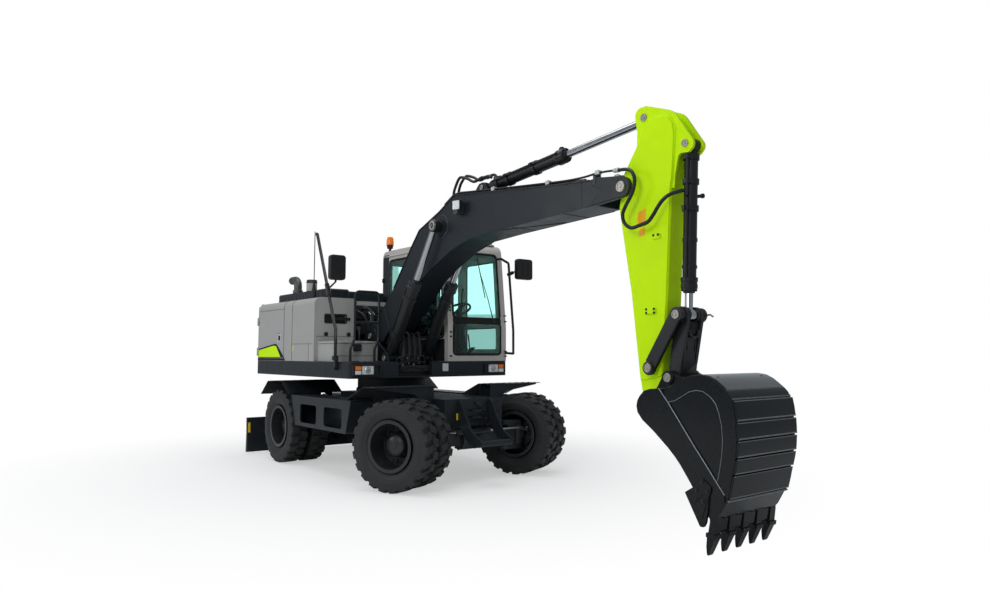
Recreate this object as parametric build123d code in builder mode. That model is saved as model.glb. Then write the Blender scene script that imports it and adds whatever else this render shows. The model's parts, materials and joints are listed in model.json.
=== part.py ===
from build123d import *
from math import asin, cos, degrees, hypot, pi, radians, sin, sqrt, tan
import os

# A 14 tonne class wheeled excavator on twin tyres, in millimetres.
# +X is forward, +Y is left, +Z is up. The origin is on the ground under the slew axis.
# It stands with its front wheels steered left, its arm hanging and its blade just clear of the ground.

os.makedirs("parts", exist_ok=True)

# Clearances
BEARING_GAP = 0.3  # faces that turn or slide on each other
JOIN_GAP = 0.3  # faces of bolted pieces
DOOR_GAP = 5.0  # round doors and lids
MOVING_GAP = 6.0  # between plates of moving bodies

# Running gear
TYRE_RADIUS = 510.0
TYRE_WIDTH = 255.0
TYRE_LUGS = 22
LUG_DEPTH = 26.0
TWIN_PITCH = 310.0
RIM_RADIUS = 290.0
RIM_WELL = 262.0
RIM_BORE = 250.0
RIM_WIDTH = 230.0
RIM_LIP = 14.0
FRONT_AXLE_X = 1785.0
REAR_AXLE_X = -1050.0
KINGPIN_Y = 800.0
INNER_TYRE = 7.5  # middle of the inner tyre, outboard of the kingpin line
STEER = 24.5  # degrees to the left, as it stands
AXLE_Z = TYRE_RADIUS
OVERALL_HALF = KINGPIN_Y + INNER_TYRE + TWIN_PITCH + TYRE_WIDTH / 2

# Undercarriage
FRAME_HALF = 430.0
FRAME_TOP = 992.0
FRAME_BOTTOM = 670.0
FRAME_FRONT = 1933.0
FRAME_REAR = -1400.0
FENDER_PLATE = 8.0
STEP_HALF = 236.0
RING_RADIUS = 480.0
RING_BASE = FRAME_TOP + 50

# Upper structure
DECK_BOTTOM = 1228.0
DECK_TOP = 1430.0
DECK_FRONT = 1075.0
DECK_HALF = 1220.0
TAIL_RADIUS = 2200.0
TAIL_SIDE = 280.0 - TAIL_RADIUS  # where the sides give way to the rounded tail
TAIL_SHOULDER = TAIL_SIDE - 60
TAIL_ROOF = 15.0 - TAIL_RADIUS
HOOD_TOP = 2280.0
HOOD_WALL = 40.0
HOOD_NOSE = 50.0
CAB_RIGHT = 220.0
CAB_LEFT = DECK_HALF - 10
CAB_REAR = -680.0
CAB_FRONT = 1062.0
CAB_BASE = DECK_TOP + JOIN_GAP
CAB_TOP = 3065.0
CAB_WALL = 50.0
GLASS = 6.0

# Door hinges
HINGE_RADIUS = 12.0
HINGE_LENGTH = 60.0
HINGE_STAND = 14.0  # its axis, outside the panel's face
HINGE_SHIFT = 2.5  # its axis, beyond the door's edge
HINGE_TAB = 22.0

# Digging linkage: places in the upright plane of the boom, as (x, z)
BOOM_Y = -200.0  # the boom stands right of the middle, beside the cab
BOOM_HALF = 180.0
ARM_HALF = 92.0
ARM_BOSS = 135.0  # half width of the arm's bosses and of the gaps they turn in
EAR = 35.0  # thickness of the fork and hinge plates
BOOM_FOOT = (130.0, 1770.0)
BOOM_TIP = (4664.0, 3045.0)
BOOM_CYLINDER_FOOT = (732.0, 1470.0)
BOOM_CYLINDER_EYE = (1770.0, 3070.0)
BOOM_CYLINDER_OUT = 275.0
ARM_CYLINDER_FOOT = (2450.0, 3445.0)
ARM_CYLINDER_EYE = (4860.0, 3657.0)
BUCKET_CYLINDER_TOP = (5306.0, 3320.0)
BUCKET_CYLINDER_EYE = (5241.0, 1862.0)
ROCKER_PIN = (4940.0, 1411.0)
LINK_PIN = (5154.0, 1334.0)
BUCKET_PIN = (5030.0, 1100.0)
BUCKET_HALF = 404.0
PIN = 35.0  # radius of the main pins

# Blade
BLADE_PIVOT = (-1450.0, 400.0)
BLADE_CYLINDER_TOP = (-1380.0, 860.0)
BLADE_CYLINDER_EYE = (-2120.0, 420.0)
BLADE_CYLINDER_Y = 300.0
BLADE_HALF = 1245.0
BLADE_LIFT = 25.0  # under its edge, as it stands
BLADE_FACE = -2210.0


def side_plane(y):
    """Upright plane at the given Y that looks right, with X across it and Z up it."""
    return Plane.XZ.offset(-y)


def outline(corners, mode=Mode.ADD):
    """Fill a closed outline, given as (across, up, corner radius) rows, in the sketch that is open."""
    with BuildLine() as edge:
        FilletPolyline(*[row[:2] for row in corners], radius=[row[2] for row in corners], close=True)
    make_face(edge.line, mode=mode)


def plate(corners, y, mode=Mode.ADD, inset=0.0):
    """Add an upright plate with an (x, z, corner radius) outline between two values of Y."""
    with BuildSketch(side_plane(max(y))) as face:
        outline(corners)
        if inset:
            offset(amount=-inset, mode=Mode.REPLACE)
    extrude(face.sketch, amount=max(y) - min(y), mode=mode)


def slab(corners, z, mode=Mode.ADD):
    """Add a level slab with an (x, y, corner radius) outline between two values of Z."""
    with BuildSketch(Plane.XY.offset(min(z))) as face:
        outline(corners)
    extrude(face.sketch, amount=max(z) - min(z), mode=mode)


def block(x, y, z, mode=Mode.ADD):
    """Add a box between two values on each axis."""
    middle = [(low + high) / 2 for low, high in (x, y, z)]
    with Locations(tuple(middle)):
        Box(*[abs(high - low) for low, high in (x, y, z)], mode=mode)


def bar_y(place, radius, y, mode=Mode.ADD):
    """Add a round bar along Y at an (x, z) place, between two values of Y."""
    with Locations((place[0], (y[0] + y[1]) / 2, place[1])):
        Cylinder(radius, abs(y[1] - y[0]), rotation=(90, 0, 0), mode=mode)


def rod_between(start, end, radius, mode=Mode.ADD):
    """Add a round bar from one point in space to another."""
    run = Vector(*end) - Vector(*start)
    with BuildSketch(Plane(origin=start, z_dir=run)) as section:
        Circle(radius)
    extrude(section.sketch, amount=run.length, mode=mode)


def along(start, end, distance):
    """The (x, z) place that lies a distance from start towards end."""
    share = distance / hypot(end[0] - start[0], end[1] - start[1])
    return (start[0] + share * (end[0] - start[0]), start[1] + share * (end[1] - start[1]))


def at_y(place, y):
    """The point in space of an (x, z) place at the given Y."""
    return (place[0], y, place[1])


def hinge_half(x, panel_y, z, reach):
    """Add one upright hinge barrel outside a panel's face, with a tab that reaches along X to it."""
    side = 1 if panel_y > 0 else -1
    with Locations((x, panel_y + side * HINGE_STAND, z + HINGE_LENGTH / 2)):
        Cylinder(HINGE_RADIUS, HINGE_LENGTH)
    block((x, x + reach), (panel_y - side * 10, panel_y + side * HINGE_STAND), (z, z + HINGE_LENGTH))


def save(piece, name):
    """Label a finished piece and write it as its own file."""
    piece.part.label = name
    export_step(piece.part, f"parts/{name}.step")


# ---------------------------------------------------------------- wheels
# name, axle x, side (+1 left), steering angle
WHEELS = (
    ("front_right", FRONT_AXLE_X, -1, STEER),
    ("front_left", FRONT_AXLE_X, 1, STEER),
    ("rear_right", REAR_AXLE_X, -1, 0.0),
    ("rear_left", REAR_AXLE_X, 1, 0.0),
)
HUB_RADIUS = 122.0
HUB_INNER = 100.0  # inboard face of the turning hub, outboard of the kingpin line
HUB_OUTER = 330.0
HUB_FLANGE = 165.0
OUTER_TYRE = INNER_TYRE + TWIN_PITCH
LUG_STEP = 360 / TYRE_LUGS
LUG_FOOT = 0.32  # half width of a lug at its foot, as a share of the step
LUG_FACE = 0.26  # and at its face
TREAD_ROOT = TYRE_RADIUS - LUG_DEPTH
TYRE_BORE = (RIM_RADIUS + JOIN_GAP) / cos(radians(180 / 24))  # corners of a 24-sided bore


def spin_direction(side, steer):
    """Outboard direction of a wheel's axle, for its side and steering angle."""
    return Vector(-side * sin(radians(steer)), side * cos(radians(steer)), 0)


def wheel_plane(axle_x, side, steer, outboard):
    """Plane square to a wheel's axle, a distance outboard of its kingpin line, with up along its X."""
    spin = spin_direction(side, steer)
    centre = Vector(axle_x, side * KINGPIN_Y, AXLE_Z) + spin * outboard
    return Plane(origin=centre, x_dir=(0, 0, 1), z_dir=spin)


def section_plane(axle_x, side, steer):
    """Plane through a wheel's axle, with outboard distance across it and radius up it."""
    spin = spin_direction(side, steer)
    centre = Vector(axle_x, side * KINGPIN_Y, AXLE_Z)
    return Plane(origin=centre, x_dir=spin, z_dir=spin.cross(Vector(0, 0, 1)))


def tread_outline(turned):
    """One half of a tyre's tread: straight lugs round it, turned by a share of their step."""
    points = []
    for lug in range(TYRE_LUGS):
        middle = (lug + turned) * LUG_STEP
        # radius, share of the step away from the middle of the lug
        for radius, share in (
            (TREAD_ROOT, -LUG_FOOT),
            (TYRE_RADIUS, -LUG_FACE),
            (TYRE_RADIUS, LUG_FACE),
            (TREAD_ROOT, LUG_FOOT),
        ):
            angle = radians(middle + share * LUG_STEP)
            points.append((radius * cos(angle), radius * sin(angle)))
    Polygon(*points)
    RegularPolygon(TYRE_BORE, 24, mode=Mode.SUBTRACT)


def rim_rows(middle):
    """Half section of one rim as (outboard, radius) corners."""
    low = middle - RIM_WIDTH / 2
    high = middle + RIM_WIDTH / 2
    return [
        (low, RIM_BORE),
        (low, RIM_RADIUS),
        (low + RIM_LIP, RIM_RADIUS),
        (low + RIM_LIP, RIM_WELL),
        (high - RIM_LIP, RIM_WELL),
        (high - RIM_LIP, RIM_RADIUS),
        (high, RIM_RADIUS),
        (high, RIM_BORE),
    ]


def hub_rows():
    """Half section of the turning hub, its disc and the ring between the rims."""
    disc = (INNER_TYRE + OUTER_TYRE) / 2
    return [
        (HUB_INNER, 0),
        (HUB_INNER, HUB_FLANGE),
        (disc - 12, HUB_FLANGE),
        (disc - 12, RIM_BORE),
        (INNER_TYRE + RIM_WIDTH / 2, RIM_BORE),
        (INNER_TYRE + RIM_WIDTH / 2, RIM_WELL),
        (OUTER_TYRE - RIM_WIDTH / 2, RIM_WELL),
        (OUTER_TYRE - RIM_WIDTH / 2, RIM_BORE),
        (disc + 12, RIM_BORE),
        (disc + 12, HUB_RADIUS + 30),
        (disc + 45, HUB_RADIUS),
        (HUB_OUTER - 20, HUB_RADIUS),
        (HUB_OUTER, HUB_RADIUS - 25),
        (HUB_OUTER, 0),
    ]


for name, axle_x, side, steer in WHEELS:
    spin_axis = Axis((axle_x, side * KINGPIN_Y, AXLE_Z), spin_direction(side, steer))

    # Two rims on one disc, with the hub that carries them
    with BuildPart() as rim:
        with BuildSketch(section_plane(axle_x, side, steer)):
            Polygon(*rim_rows(INNER_TYRE))
            Polygon(*rim_rows(OUTER_TYRE))
            Polygon(*hub_rows())
        revolve(axis=spin_axis)
    save(rim, f"rim_{name}")

    # A pair of tyres, each of two halves whose lugs stand half a step apart
    with BuildPart() as tyres:
        for middle in (INNER_TYRE, OUTER_TYRE):
            for start, turned in ((middle - TYRE_WIDTH / 2, 0.0), (middle, 0.5)):
                with BuildSketch(wheel_plane(axle_x, side, steer, start)):
                    tread_outline(turned)
                extrude(amount=TYRE_WIDTH / 2)
    save(tyres, f"tyres_{name}")

# ---------------------------------------------------------------- knuckles and steering
YOKE_GAP = 125.0  # half height of the knuckle between the yoke's arms
YOKE_ARM = 55.0  # thickness of a yoke arm
KINGPIN = 30.0
STEER_ARM = 138.0
STEER_ARM_Z = (AXLE_Z + 45, AXLE_Z + 75)
STEER_EYE = 20.0  # radius and thickness of the rod's eyes
STEER_ROD_X = FRONT_AXLE_X + STEER_ARM * cos(radians(STEER))
STEER_ROD_Z = STEER_ARM_Z[1] + 4 + STEER_EYE / 2  # the rod's eye lies just over the arm
STEER_ROD = 18.0
STEER_BARREL = 38.0
STEER_BARREL_HALF = 250.0
STEER_SHIFT = STEER_ARM * sin(radians(STEER))
STEER_LOCK = 30.0  # degrees each way from straight ahead

for name, side in (("right", -1), ("left", 1)):
    spin = spin_direction(side, STEER)
    forward = Vector(spin.Y * side, -spin.X * side, 0)
    kingpin = Vector(FRONT_AXLE_X, side * KINGPIN_Y, 0)

    # Cast knuckle: upright barrel on the kingpin, spindle out to the hub and arm forward to the rod
    with BuildPart() as knuckle:
        with BuildSketch(Plane.XY.offset(AXLE_Z - YOKE_GAP)):
            with Locations(kingpin):
                Circle(70)
        extrude(amount=2 * YOKE_GAP)
        with BuildSketch(wheel_plane(FRONT_AXLE_X, side, STEER, 0)):
            Circle(85)
        extrude(amount=HUB_INNER - BEARING_GAP)
        arm_base = kingpin + Vector(0, 0, STEER_ARM_Z[0])
        with BuildSketch(Plane(origin=arm_base, x_dir=forward, z_dir=(0, 0, 1))):
            with Locations((STEER_ARM / 2, 0)):
                SlotCenterToCenter(STEER_ARM, 56)
        extrude(amount=STEER_ARM_Z[1] - STEER_ARM_Z[0])
        with BuildSketch(Plane.XY.offset(AXLE_Z - YOKE_GAP)):
            with Locations(kingpin):
                Circle(KINGPIN + BEARING_GAP)
        extrude(amount=2 * YOKE_GAP, mode=Mode.SUBTRACT)
    save(knuckle, f"knuckle_{name}")

# Steering rod through its cylinder, with an eye over each knuckle's arm
with BuildPart() as steering_rod:
    for side in (-1, 1):
        with Locations((STEER_ROD_X, side * KINGPIN_Y + STEER_SHIFT, STEER_ROD_Z)):
            Cylinder(STEER_EYE, STEER_EYE)
    low = -KINGPIN_Y + STEER_SHIFT
    high = KINGPIN_Y + STEER_SHIFT
    with Locations((STEER_ROD_X, (low + high) / 2, STEER_ROD_Z)):
        Cylinder(STEER_ROD * 0.7, high - low, rotation=(90, 0, 0))
    rod_reach = STEER_BARREL_HALF + 2 * STEER_ARM * sin(radians(STEER_LOCK)) - 20
    with Locations((STEER_ROD_X, STEER_SHIFT, STEER_ROD_Z)):
        Cylinder(STEER_ROD, 2 * rod_reach, rotation=(90, 0, 0))
save(steering_rod, "steering_rod")

# ---------------------------------------------------------------- axles
# Beam with a round differential housing in the middle; the front one ends in yokes
BEAM_HALF = 72.0
DIFF_RADIUS = 120.0
DIFF_Z = AXLE_Z - 15

with BuildPart() as front_axle:
    block((FRONT_AXLE_X - BEAM_HALF, FRONT_AXLE_X + BEAM_HALF), (-640, 640), (AXLE_Z - 80, AXLE_Z + 80))
    with Locations((FRONT_AXLE_X, 0, DIFF_Z)):
        Cylinder(DIFF_RADIUS, 250, rotation=(90, 0, 0))
    with Locations((FRONT_AXLE_X - DIFF_RADIUS - 30, 0, AXLE_Z)):
        Cylinder(70, 160, rotation=(0, 90, 0))
    # rocking pivot under the frame
    block((FRONT_AXLE_X - 150, FRONT_AXLE_X + 60), (-150, 150), (AXLE_Z + 80, FRAME_BOTTOM - JOIN_GAP))
    for side in (-1, 1):
        for low in (AXLE_Z - YOKE_GAP - YOKE_ARM, AXLE_Z + YOKE_GAP + BEARING_GAP):
            with BuildSketch(Plane.XY.offset(low)):
                with Locations((FRONT_AXLE_X, side * (KINGPIN_Y - 100))):
                    SlotCenterToCenter(200, 120, rotation=90)
            extrude(amount=YOKE_ARM - BEARING_GAP)
        block(
            (FRONT_AXLE_X - 60, FRONT_AXLE_X + 60),
            (side * 600, side * (KINGPIN_Y - 85)),
            (AXLE_Z - YOKE_GAP - YOKE_ARM, AXLE_Z + YOKE_GAP + YOKE_ARM),
        )
        with Locations((FRONT_AXLE_X, side * KINGPIN_Y, AXLE_Z)):
            Cylinder(KINGPIN, 2 * (YOKE_GAP + YOKE_ARM))
save(front_axle, "front_axle")

# Steering cylinder, bolted along the front of the axle
with BuildPart() as steering_cylinder:
    with Locations((STEER_ROD_X, 0, STEER_ROD_Z)):
        Cylinder(STEER_BARREL, 2 * STEER_BARREL_HALF, rotation=(90, 0, 0))
    for y in (-STEER_BARREL_HALF + 60, STEER_BARREL_HALF - 60):
        block(
            (FRONT_AXLE_X + BEAM_HALF + JOIN_GAP, STEER_ROD_X),
            (y - 25, y + 25),
            (STEER_ROD_Z - 30, STEER_ROD_Z + 30),
        )
    with Locations((STEER_ROD_X, 0, STEER_ROD_Z)):
        Cylinder(STEER_ROD + BEARING_GAP, 2 * STEER_BARREL_HALF, rotation=(90, 0, 0), mode=Mode.SUBTRACT)
save(steering_cylinder, "steering_cylinder")

with BuildPart() as rear_axle:
    block((REAR_AXLE_X - BEAM_HALF, REAR_AXLE_X + BEAM_HALF), (-640, 640), (AXLE_Z - 80, AXLE_Z + 80))
    with Locations((REAR_AXLE_X, 0, DIFF_Z)):
        Cylinder(DIFF_RADIUS, 250, rotation=(90, 0, 0))
    with Locations((REAR_AXLE_X, 0, AXLE_Z)):
        Cylinder(95, 2 * (KINGPIN_Y + HUB_INNER - BEARING_GAP), rotation=(90, 0, 0))
    with Locations((REAR_AXLE_X + DIFF_RADIUS + 30, 0, AXLE_Z)):
        Cylinder(70, 160, rotation=(0, 90, 0))
    for side in (-1, 1):
        block(
            (REAR_AXLE_X - 110, REAR_AXLE_X + 110),
            (side * 250, side * 400),
            (AXLE_Z + 60, FRAME_BOTTOM - JOIN_GAP),
        )
save(rear_axle, "rear_axle")

# Gearbox and travel motor under the frame, with the shafts to both axles
GEARBOX_X = (-330.0, 180.0)
REAR_FLANGE_X = REAR_AXLE_X + DIFF_RADIUS + 110
FRONT_FLANGE_X = FRONT_AXLE_X - DIFF_RADIUS - 110
with BuildPart() as driveline:
    block(GEARBOX_X, (-230, 230), (310, 650))
    with Locations((-20, -270, 480)):
        Cylinder(105, 220, rotation=(90, 0, 0))
    rod_between((GEARBOX_X[1], 0, AXLE_Z), (FRONT_FLANGE_X - JOIN_GAP, 0, AXLE_Z), 38)
    rod_between((GEARBOX_X[0], 0, AXLE_Z), (REAR_FLANGE_X + JOIN_GAP, 0, AXLE_Z), 38)
    for x in (FRONT_FLANGE_X - 30 - JOIN_GAP, REAR_FLANGE_X + 30 + JOIN_GAP):
        with Locations((x, 0, AXLE_Z)):
            Cylinder(62, 60, rotation=(0, 90, 0))
save(driveline, "driveline")

# ---------------------------------------------------------------- chassis frame
# Welded box: wide middle under the slew ring, front beam with a face plate, rear beam to the blade
RING_TOP = 1190.0
REAR_BEAM_X = -1290.0
REAR_NOSE_HALF = 232.0  # narrow between the blade's cylinders
TOW_X = FRAME_FRONT + 35
TOW_BORE = 17.0
with BuildPart() as chassis_frame:
    block((-720, 1180), (-FRAME_HALF, FRAME_HALF), (FRAME_BOTTOM, FRAME_TOP))
    block((1180, FRAME_FRONT), (-FRAME_HALF, FRAME_HALF), (FRAME_BOTTOM, FRAME_TOP))
    block((REAR_BEAM_X, -720), (-400, 400), (FRAME_BOTTOM, FRAME_TOP - 60))
    block((FRAME_REAR, REAR_BEAM_X), (-REAR_NOSE_HALF, REAR_NOSE_HALF), (FRAME_BOTTOM, FRAME_TOP - 60))
    for side in (-1, 1):
        # belly plates each side of the gearbox
        block((-500, 900), (side * 395, side * FRAME_HALF), (300, FRAME_BOTTOM))
        # bracket plates for the blade's pivot and cylinders
        plate(
            [
                (FRAME_REAR, 320, 0),
                (BLADE_PIVOT[0] - 60, 320, 40),
                (BLADE_PIVOT[0] - 60, 560, 30),
                (BLADE_CYLINDER_TOP[0] - 70, 760, 30),
                (BLADE_CYLINDER_TOP[0] - 60, 920, 40),
                (REAR_BEAM_X + 20, 925, 0),
                (REAR_BEAM_X + 20, 320, 0),
            ],
            (side * (BLADE_CYLINDER_Y + 60), side * (BLADE_CYLINDER_Y + 90)),
        )
        bar_y(
            BLADE_CYLINDER_TOP,
            PIN,
            (side * (BLADE_CYLINDER_Y - 45), side * (BLADE_CYLINDER_Y + 60)),
        )
        bar_y(
            BLADE_PIVOT,
            30,
            (side * (BLADE_CYLINDER_Y - 95), side * (BLADE_CYLINDER_Y + 60)),
        )
    with Locations((0, 0, (FRAME_TOP + RING_BASE) / 2)):
        Cylinder(RING_RADIUS + 20, RING_BASE - FRAME_TOP)
    # towing jaw on the face plate, bored upright for its pin
    for low in (760, 840):
        block((FRAME_FRONT, FRAME_FRONT + 65), (-60, 60), (low, low + 20))
    with Locations((TOW_X, 0, 810)):
        Cylinder(TOW_BORE, 120, mode=Mode.SUBTRACT)
save(chassis_frame, "chassis_frame")

# Slew ring: fixed race on the frame
with BuildPart() as slew_ring:
    with Locations((0, 0, (RING_BASE + JOIN_GAP + RING_TOP) / 2)):
        Cylinder(RING_RADIUS, RING_TOP - RING_BASE - JOIN_GAP)
        Cylinder(RING_RADIUS - 110, RING_TOP - RING_BASE - JOIN_GAP, mode=Mode.SUBTRACT)
save(slew_ring, "slew_ring")

# Fenders: folded tread plate with ribs, bolted to the frame's sides
FENDER_INNER = FRAME_HALF + JOIN_GAP
FRONT_FENDER = ((1025, 980), (1445, 1145), (1740, 1150))
REAR_FENDER = ((-1695, 939), (-1439, 1134), (-933, 1150), (-681, 983))
RIB_FOOT = 900.0
RIB_EDGE = 1050.0
# name, (x, z) of its top from end to end, (x of a rib, height just inside the plate over it)
FENDERS = (
    ("front_fenders", FRONT_FENDER, ((1480, 1142), (1700, 1146))),
    ("rear_fenders", REAR_FENDER, ((-1380, 1132), (-1000, 1145))),
)
for name, top, ribs in FENDERS:
    with BuildPart() as fenders:
        for side in (-1, 1):
            corners = [(x, z, 0) for x, z in top]
            corners += [(x, z - FENDER_PLATE, 0) for x, z in reversed(top)]
            plate(corners, (side * FENDER_INNER, side * OVERALL_HALF))
            for x, under in ribs:
                with BuildSketch(Plane.YZ.offset(x - 5)):
                    with BuildLine():
                        Polyline(
                            (side * FENDER_INNER, RIB_FOOT),
                            (side * (FENDER_INNER + 40), RIB_FOOT),
                            (side * 700, RIB_EDGE),
                            (side * (OVERALL_HALF - 40), under - 20),
                            (side * (OVERALL_HALF - 40), under),
                            (side * FENDER_INNER, under),
                            close=True,
                        )
                    make_face()
                extrude(amount=10)
    save(fenders, name)

# Side steps: a box each side with two footholds cut through its face
STEP_OUT = OVERALL_HALF - 30
STEP_IN = 900.0
STEP_TOP = 967.0
STEP_LOW = 565.0
STEP_WALL = 25.0
FOOTHOLD_Z = (615.0, 857.0)
with BuildPart() as side_steps:
    for side in (-1, 1):
        plate(
            [
                (-655, STEP_TOP, 12),
                (-560, 720, 0),
                (-515, STEP_LOW, 30),
                (970, STEP_LOW, 40),
                (1100, STEP_TOP, 12),
            ],
            (side * STEP_IN, side * STEP_OUT),
        )
        plate(
            [
                (-600, STEP_TOP - STEP_WALL, 10),
                (-520, 720, 0),
                (-480, STEP_LOW + STEP_WALL, 20),
                (950, STEP_LOW + STEP_WALL, 30),
                (1065, STEP_TOP - STEP_WALL, 10),
            ],
            (side * (STEP_IN + 20), side * (STEP_OUT - 20)),
            mode=Mode.SUBTRACT,
        )
        for low, high in ((-350, 146), (370, 865)):
            plate(
                [
                    (low, FOOTHOLD_Z[0], 40),
                    (low, FOOTHOLD_Z[1], 40),
                    (high, FOOTHOLD_Z[1], 40),
                    (high, FOOTHOLD_Z[0], 40),
                ],
                (side * (STEP_OUT - 40), side * (STEP_OUT + 20)),
                mode=Mode.SUBTRACT,
            )
        # outriggers that carry the step from the frame
        for x in (-400, 700):
            block((x - 30, x + 30), (side * FENDER_INNER, side * STEP_IN), (700, 800))
save(side_steps, "side_steps")

# Front step: two curved side plates, a tread and a rounded nose bar
with BuildPart() as front_step:
    for side in (-1, 1):
        plate(
            [
                (FRAME_FRONT + JOIN_GAP, 975, 0),
                (FRAME_FRONT + 60, 965, 60),
                (2080, 800, 250),
                (2210, 620, 200),
                (2379, 540, 30),
                (2379, 463, 30),
                (2180, 445, 60),
                (1990, 640, 20),
                (FRAME_FRONT + JOIN_GAP, 690, 0),
            ],
            (side * STEP_HALF, side * (STEP_HALF - 14)),
        )
    block((2170, 2370), (14 - STEP_HALF, STEP_HALF - 14), (505, 520))
    bar_y((2350, 500), 34, (14 - STEP_HALF, STEP_HALF - 14))
save(front_step, "front_step")

# ---------------------------------------------------------------- blade
with BuildPart() as blade:
    plate(
        [
            (BLADE_FACE, BLADE_LIFT, 0),
            (BLADE_FACE - 62, BLADE_LIFT, 0),
            (BLADE_FACE - 50, 300, 300),
            (BLADE_FACE - 62, BLADE_LIFT + 520, 0),
            (BLADE_FACE - 15, BLADE_LIFT + 520, 0),
            (BLADE_FACE - 8, 300, 300),
        ],
        (-BLADE_HALF, BLADE_HALF),
    )
    for side in (-1, 1):
        inner = side * (BLADE_CYLINDER_Y - 90)
        outer = side * (BLADE_CYLINDER_Y - 45)
        # push arm with its hinge eye
        plate(
            [
                (BLADE_FACE - 20, 120, 0),
                (BLADE_PIVOT[0] - 100, 300, 60),
                (BLADE_PIVOT[0] + 55, 345, 55),
                (BLADE_PIVOT[0] + 55, 455, 55),
                (BLADE_PIVOT[0] - 100, 455, 60),
                (BLADE_FACE - 20, 330, 0),
            ],
            (inner, outer),
        )
        # ears for the lifting cylinder's rod
        for y in (BLADE_CYLINDER_Y - 62, BLADE_CYLINDER_Y + 44):
            plate(
                [
                    (BLADE_FACE - 20, 300, 0),
                    (BLADE_CYLINDER_EYE[0] + 40, 370, 40),
                    (BLADE_CYLINDER_EYE[0] + 45, 470, 45),
                    (BLADE_FACE - 20, 500, 0),
                ],
                (side * y, side * (y + 18)),
            )
        # lashing eye on the top edge
        with BuildSketch(side_plane(side * 700 + 12)) as eye:
            with Locations((BLADE_FACE - 35, BLADE_LIFT + 545)):
                Circle(45)
                Circle(22, mode=Mode.SUBTRACT)
        extrude(eye.sketch, amount=24)
    for side in (-1, 1):
        bar_y(
            BLADE_PIVOT,
            30 + BEARING_GAP,
            (side * (BLADE_CYLINDER_Y - 120), side * (BLADE_CYLINDER_Y - 20)),
            mode=Mode.SUBTRACT,
        )
save(blade, "blade")


def barrel(foot, eye, y, radius, eye_half, head_at, rod):
    """Add a cylinder's barrel: foot eye, tube, thicker head, and the bores for its pin and rod."""
    bar_y(foot, radius, (y - eye_half, y + eye_half))
    rod_between(at_y(foot, y), at_y(along(foot, eye, radius + 60), y), eye_half * 0.8)
    rod_between(at_y(along(foot, eye, radius + 50), y), at_y(along(foot, eye, head_at), y), radius)
    rod_between(at_y(along(foot, eye, head_at - 110), y), at_y(along(foot, eye, head_at), y), radius + 9)
    rod_between(
        at_y(along(foot, eye, radius + 70), y),
        at_y(along(foot, eye, head_at + 1), y),
        rod + BEARING_GAP,
        mode=Mode.SUBTRACT,
    )
    bar_y(foot, PIN + BEARING_GAP, (y - eye_half, y + eye_half), mode=Mode.SUBTRACT)


def piston_rod(foot, eye, y, inner_end, eye_half, rod, eye_radius):
    """Add a cylinder's rod from its inner end to the eye that closes on its pin."""
    rod_between(at_y(along(foot, eye, inner_end), y), at_y(eye, y), rod)
    bar_y(eye, eye_radius, (y - eye_half, y + eye_half))


# ---------------------------------------------------------------- blade cylinders
BLADE_BARREL = 48.0
BLADE_ROD = 26.0
BLADE_HEAD_AT = 520.0
with BuildPart() as blade_cylinders:
    for side in (-1, 1):
        barrel(
            BLADE_CYLINDER_TOP,
            BLADE_CYLINDER_EYE,
            side * BLADE_CYLINDER_Y,
            BLADE_BARREL,
            38,
            BLADE_HEAD_AT,
            BLADE_ROD,
        )
save(blade_cylinders, "blade_cylinders")

with BuildPart() as blade_rods:
    for side in (-1, 1):
        piston_rod(BLADE_CYLINDER_TOP, BLADE_CYLINDER_EYE, side * BLADE_CYLINDER_Y, 340, 34, BLADE_ROD, 42)
save(blade_rods, "blade_rods")

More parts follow.
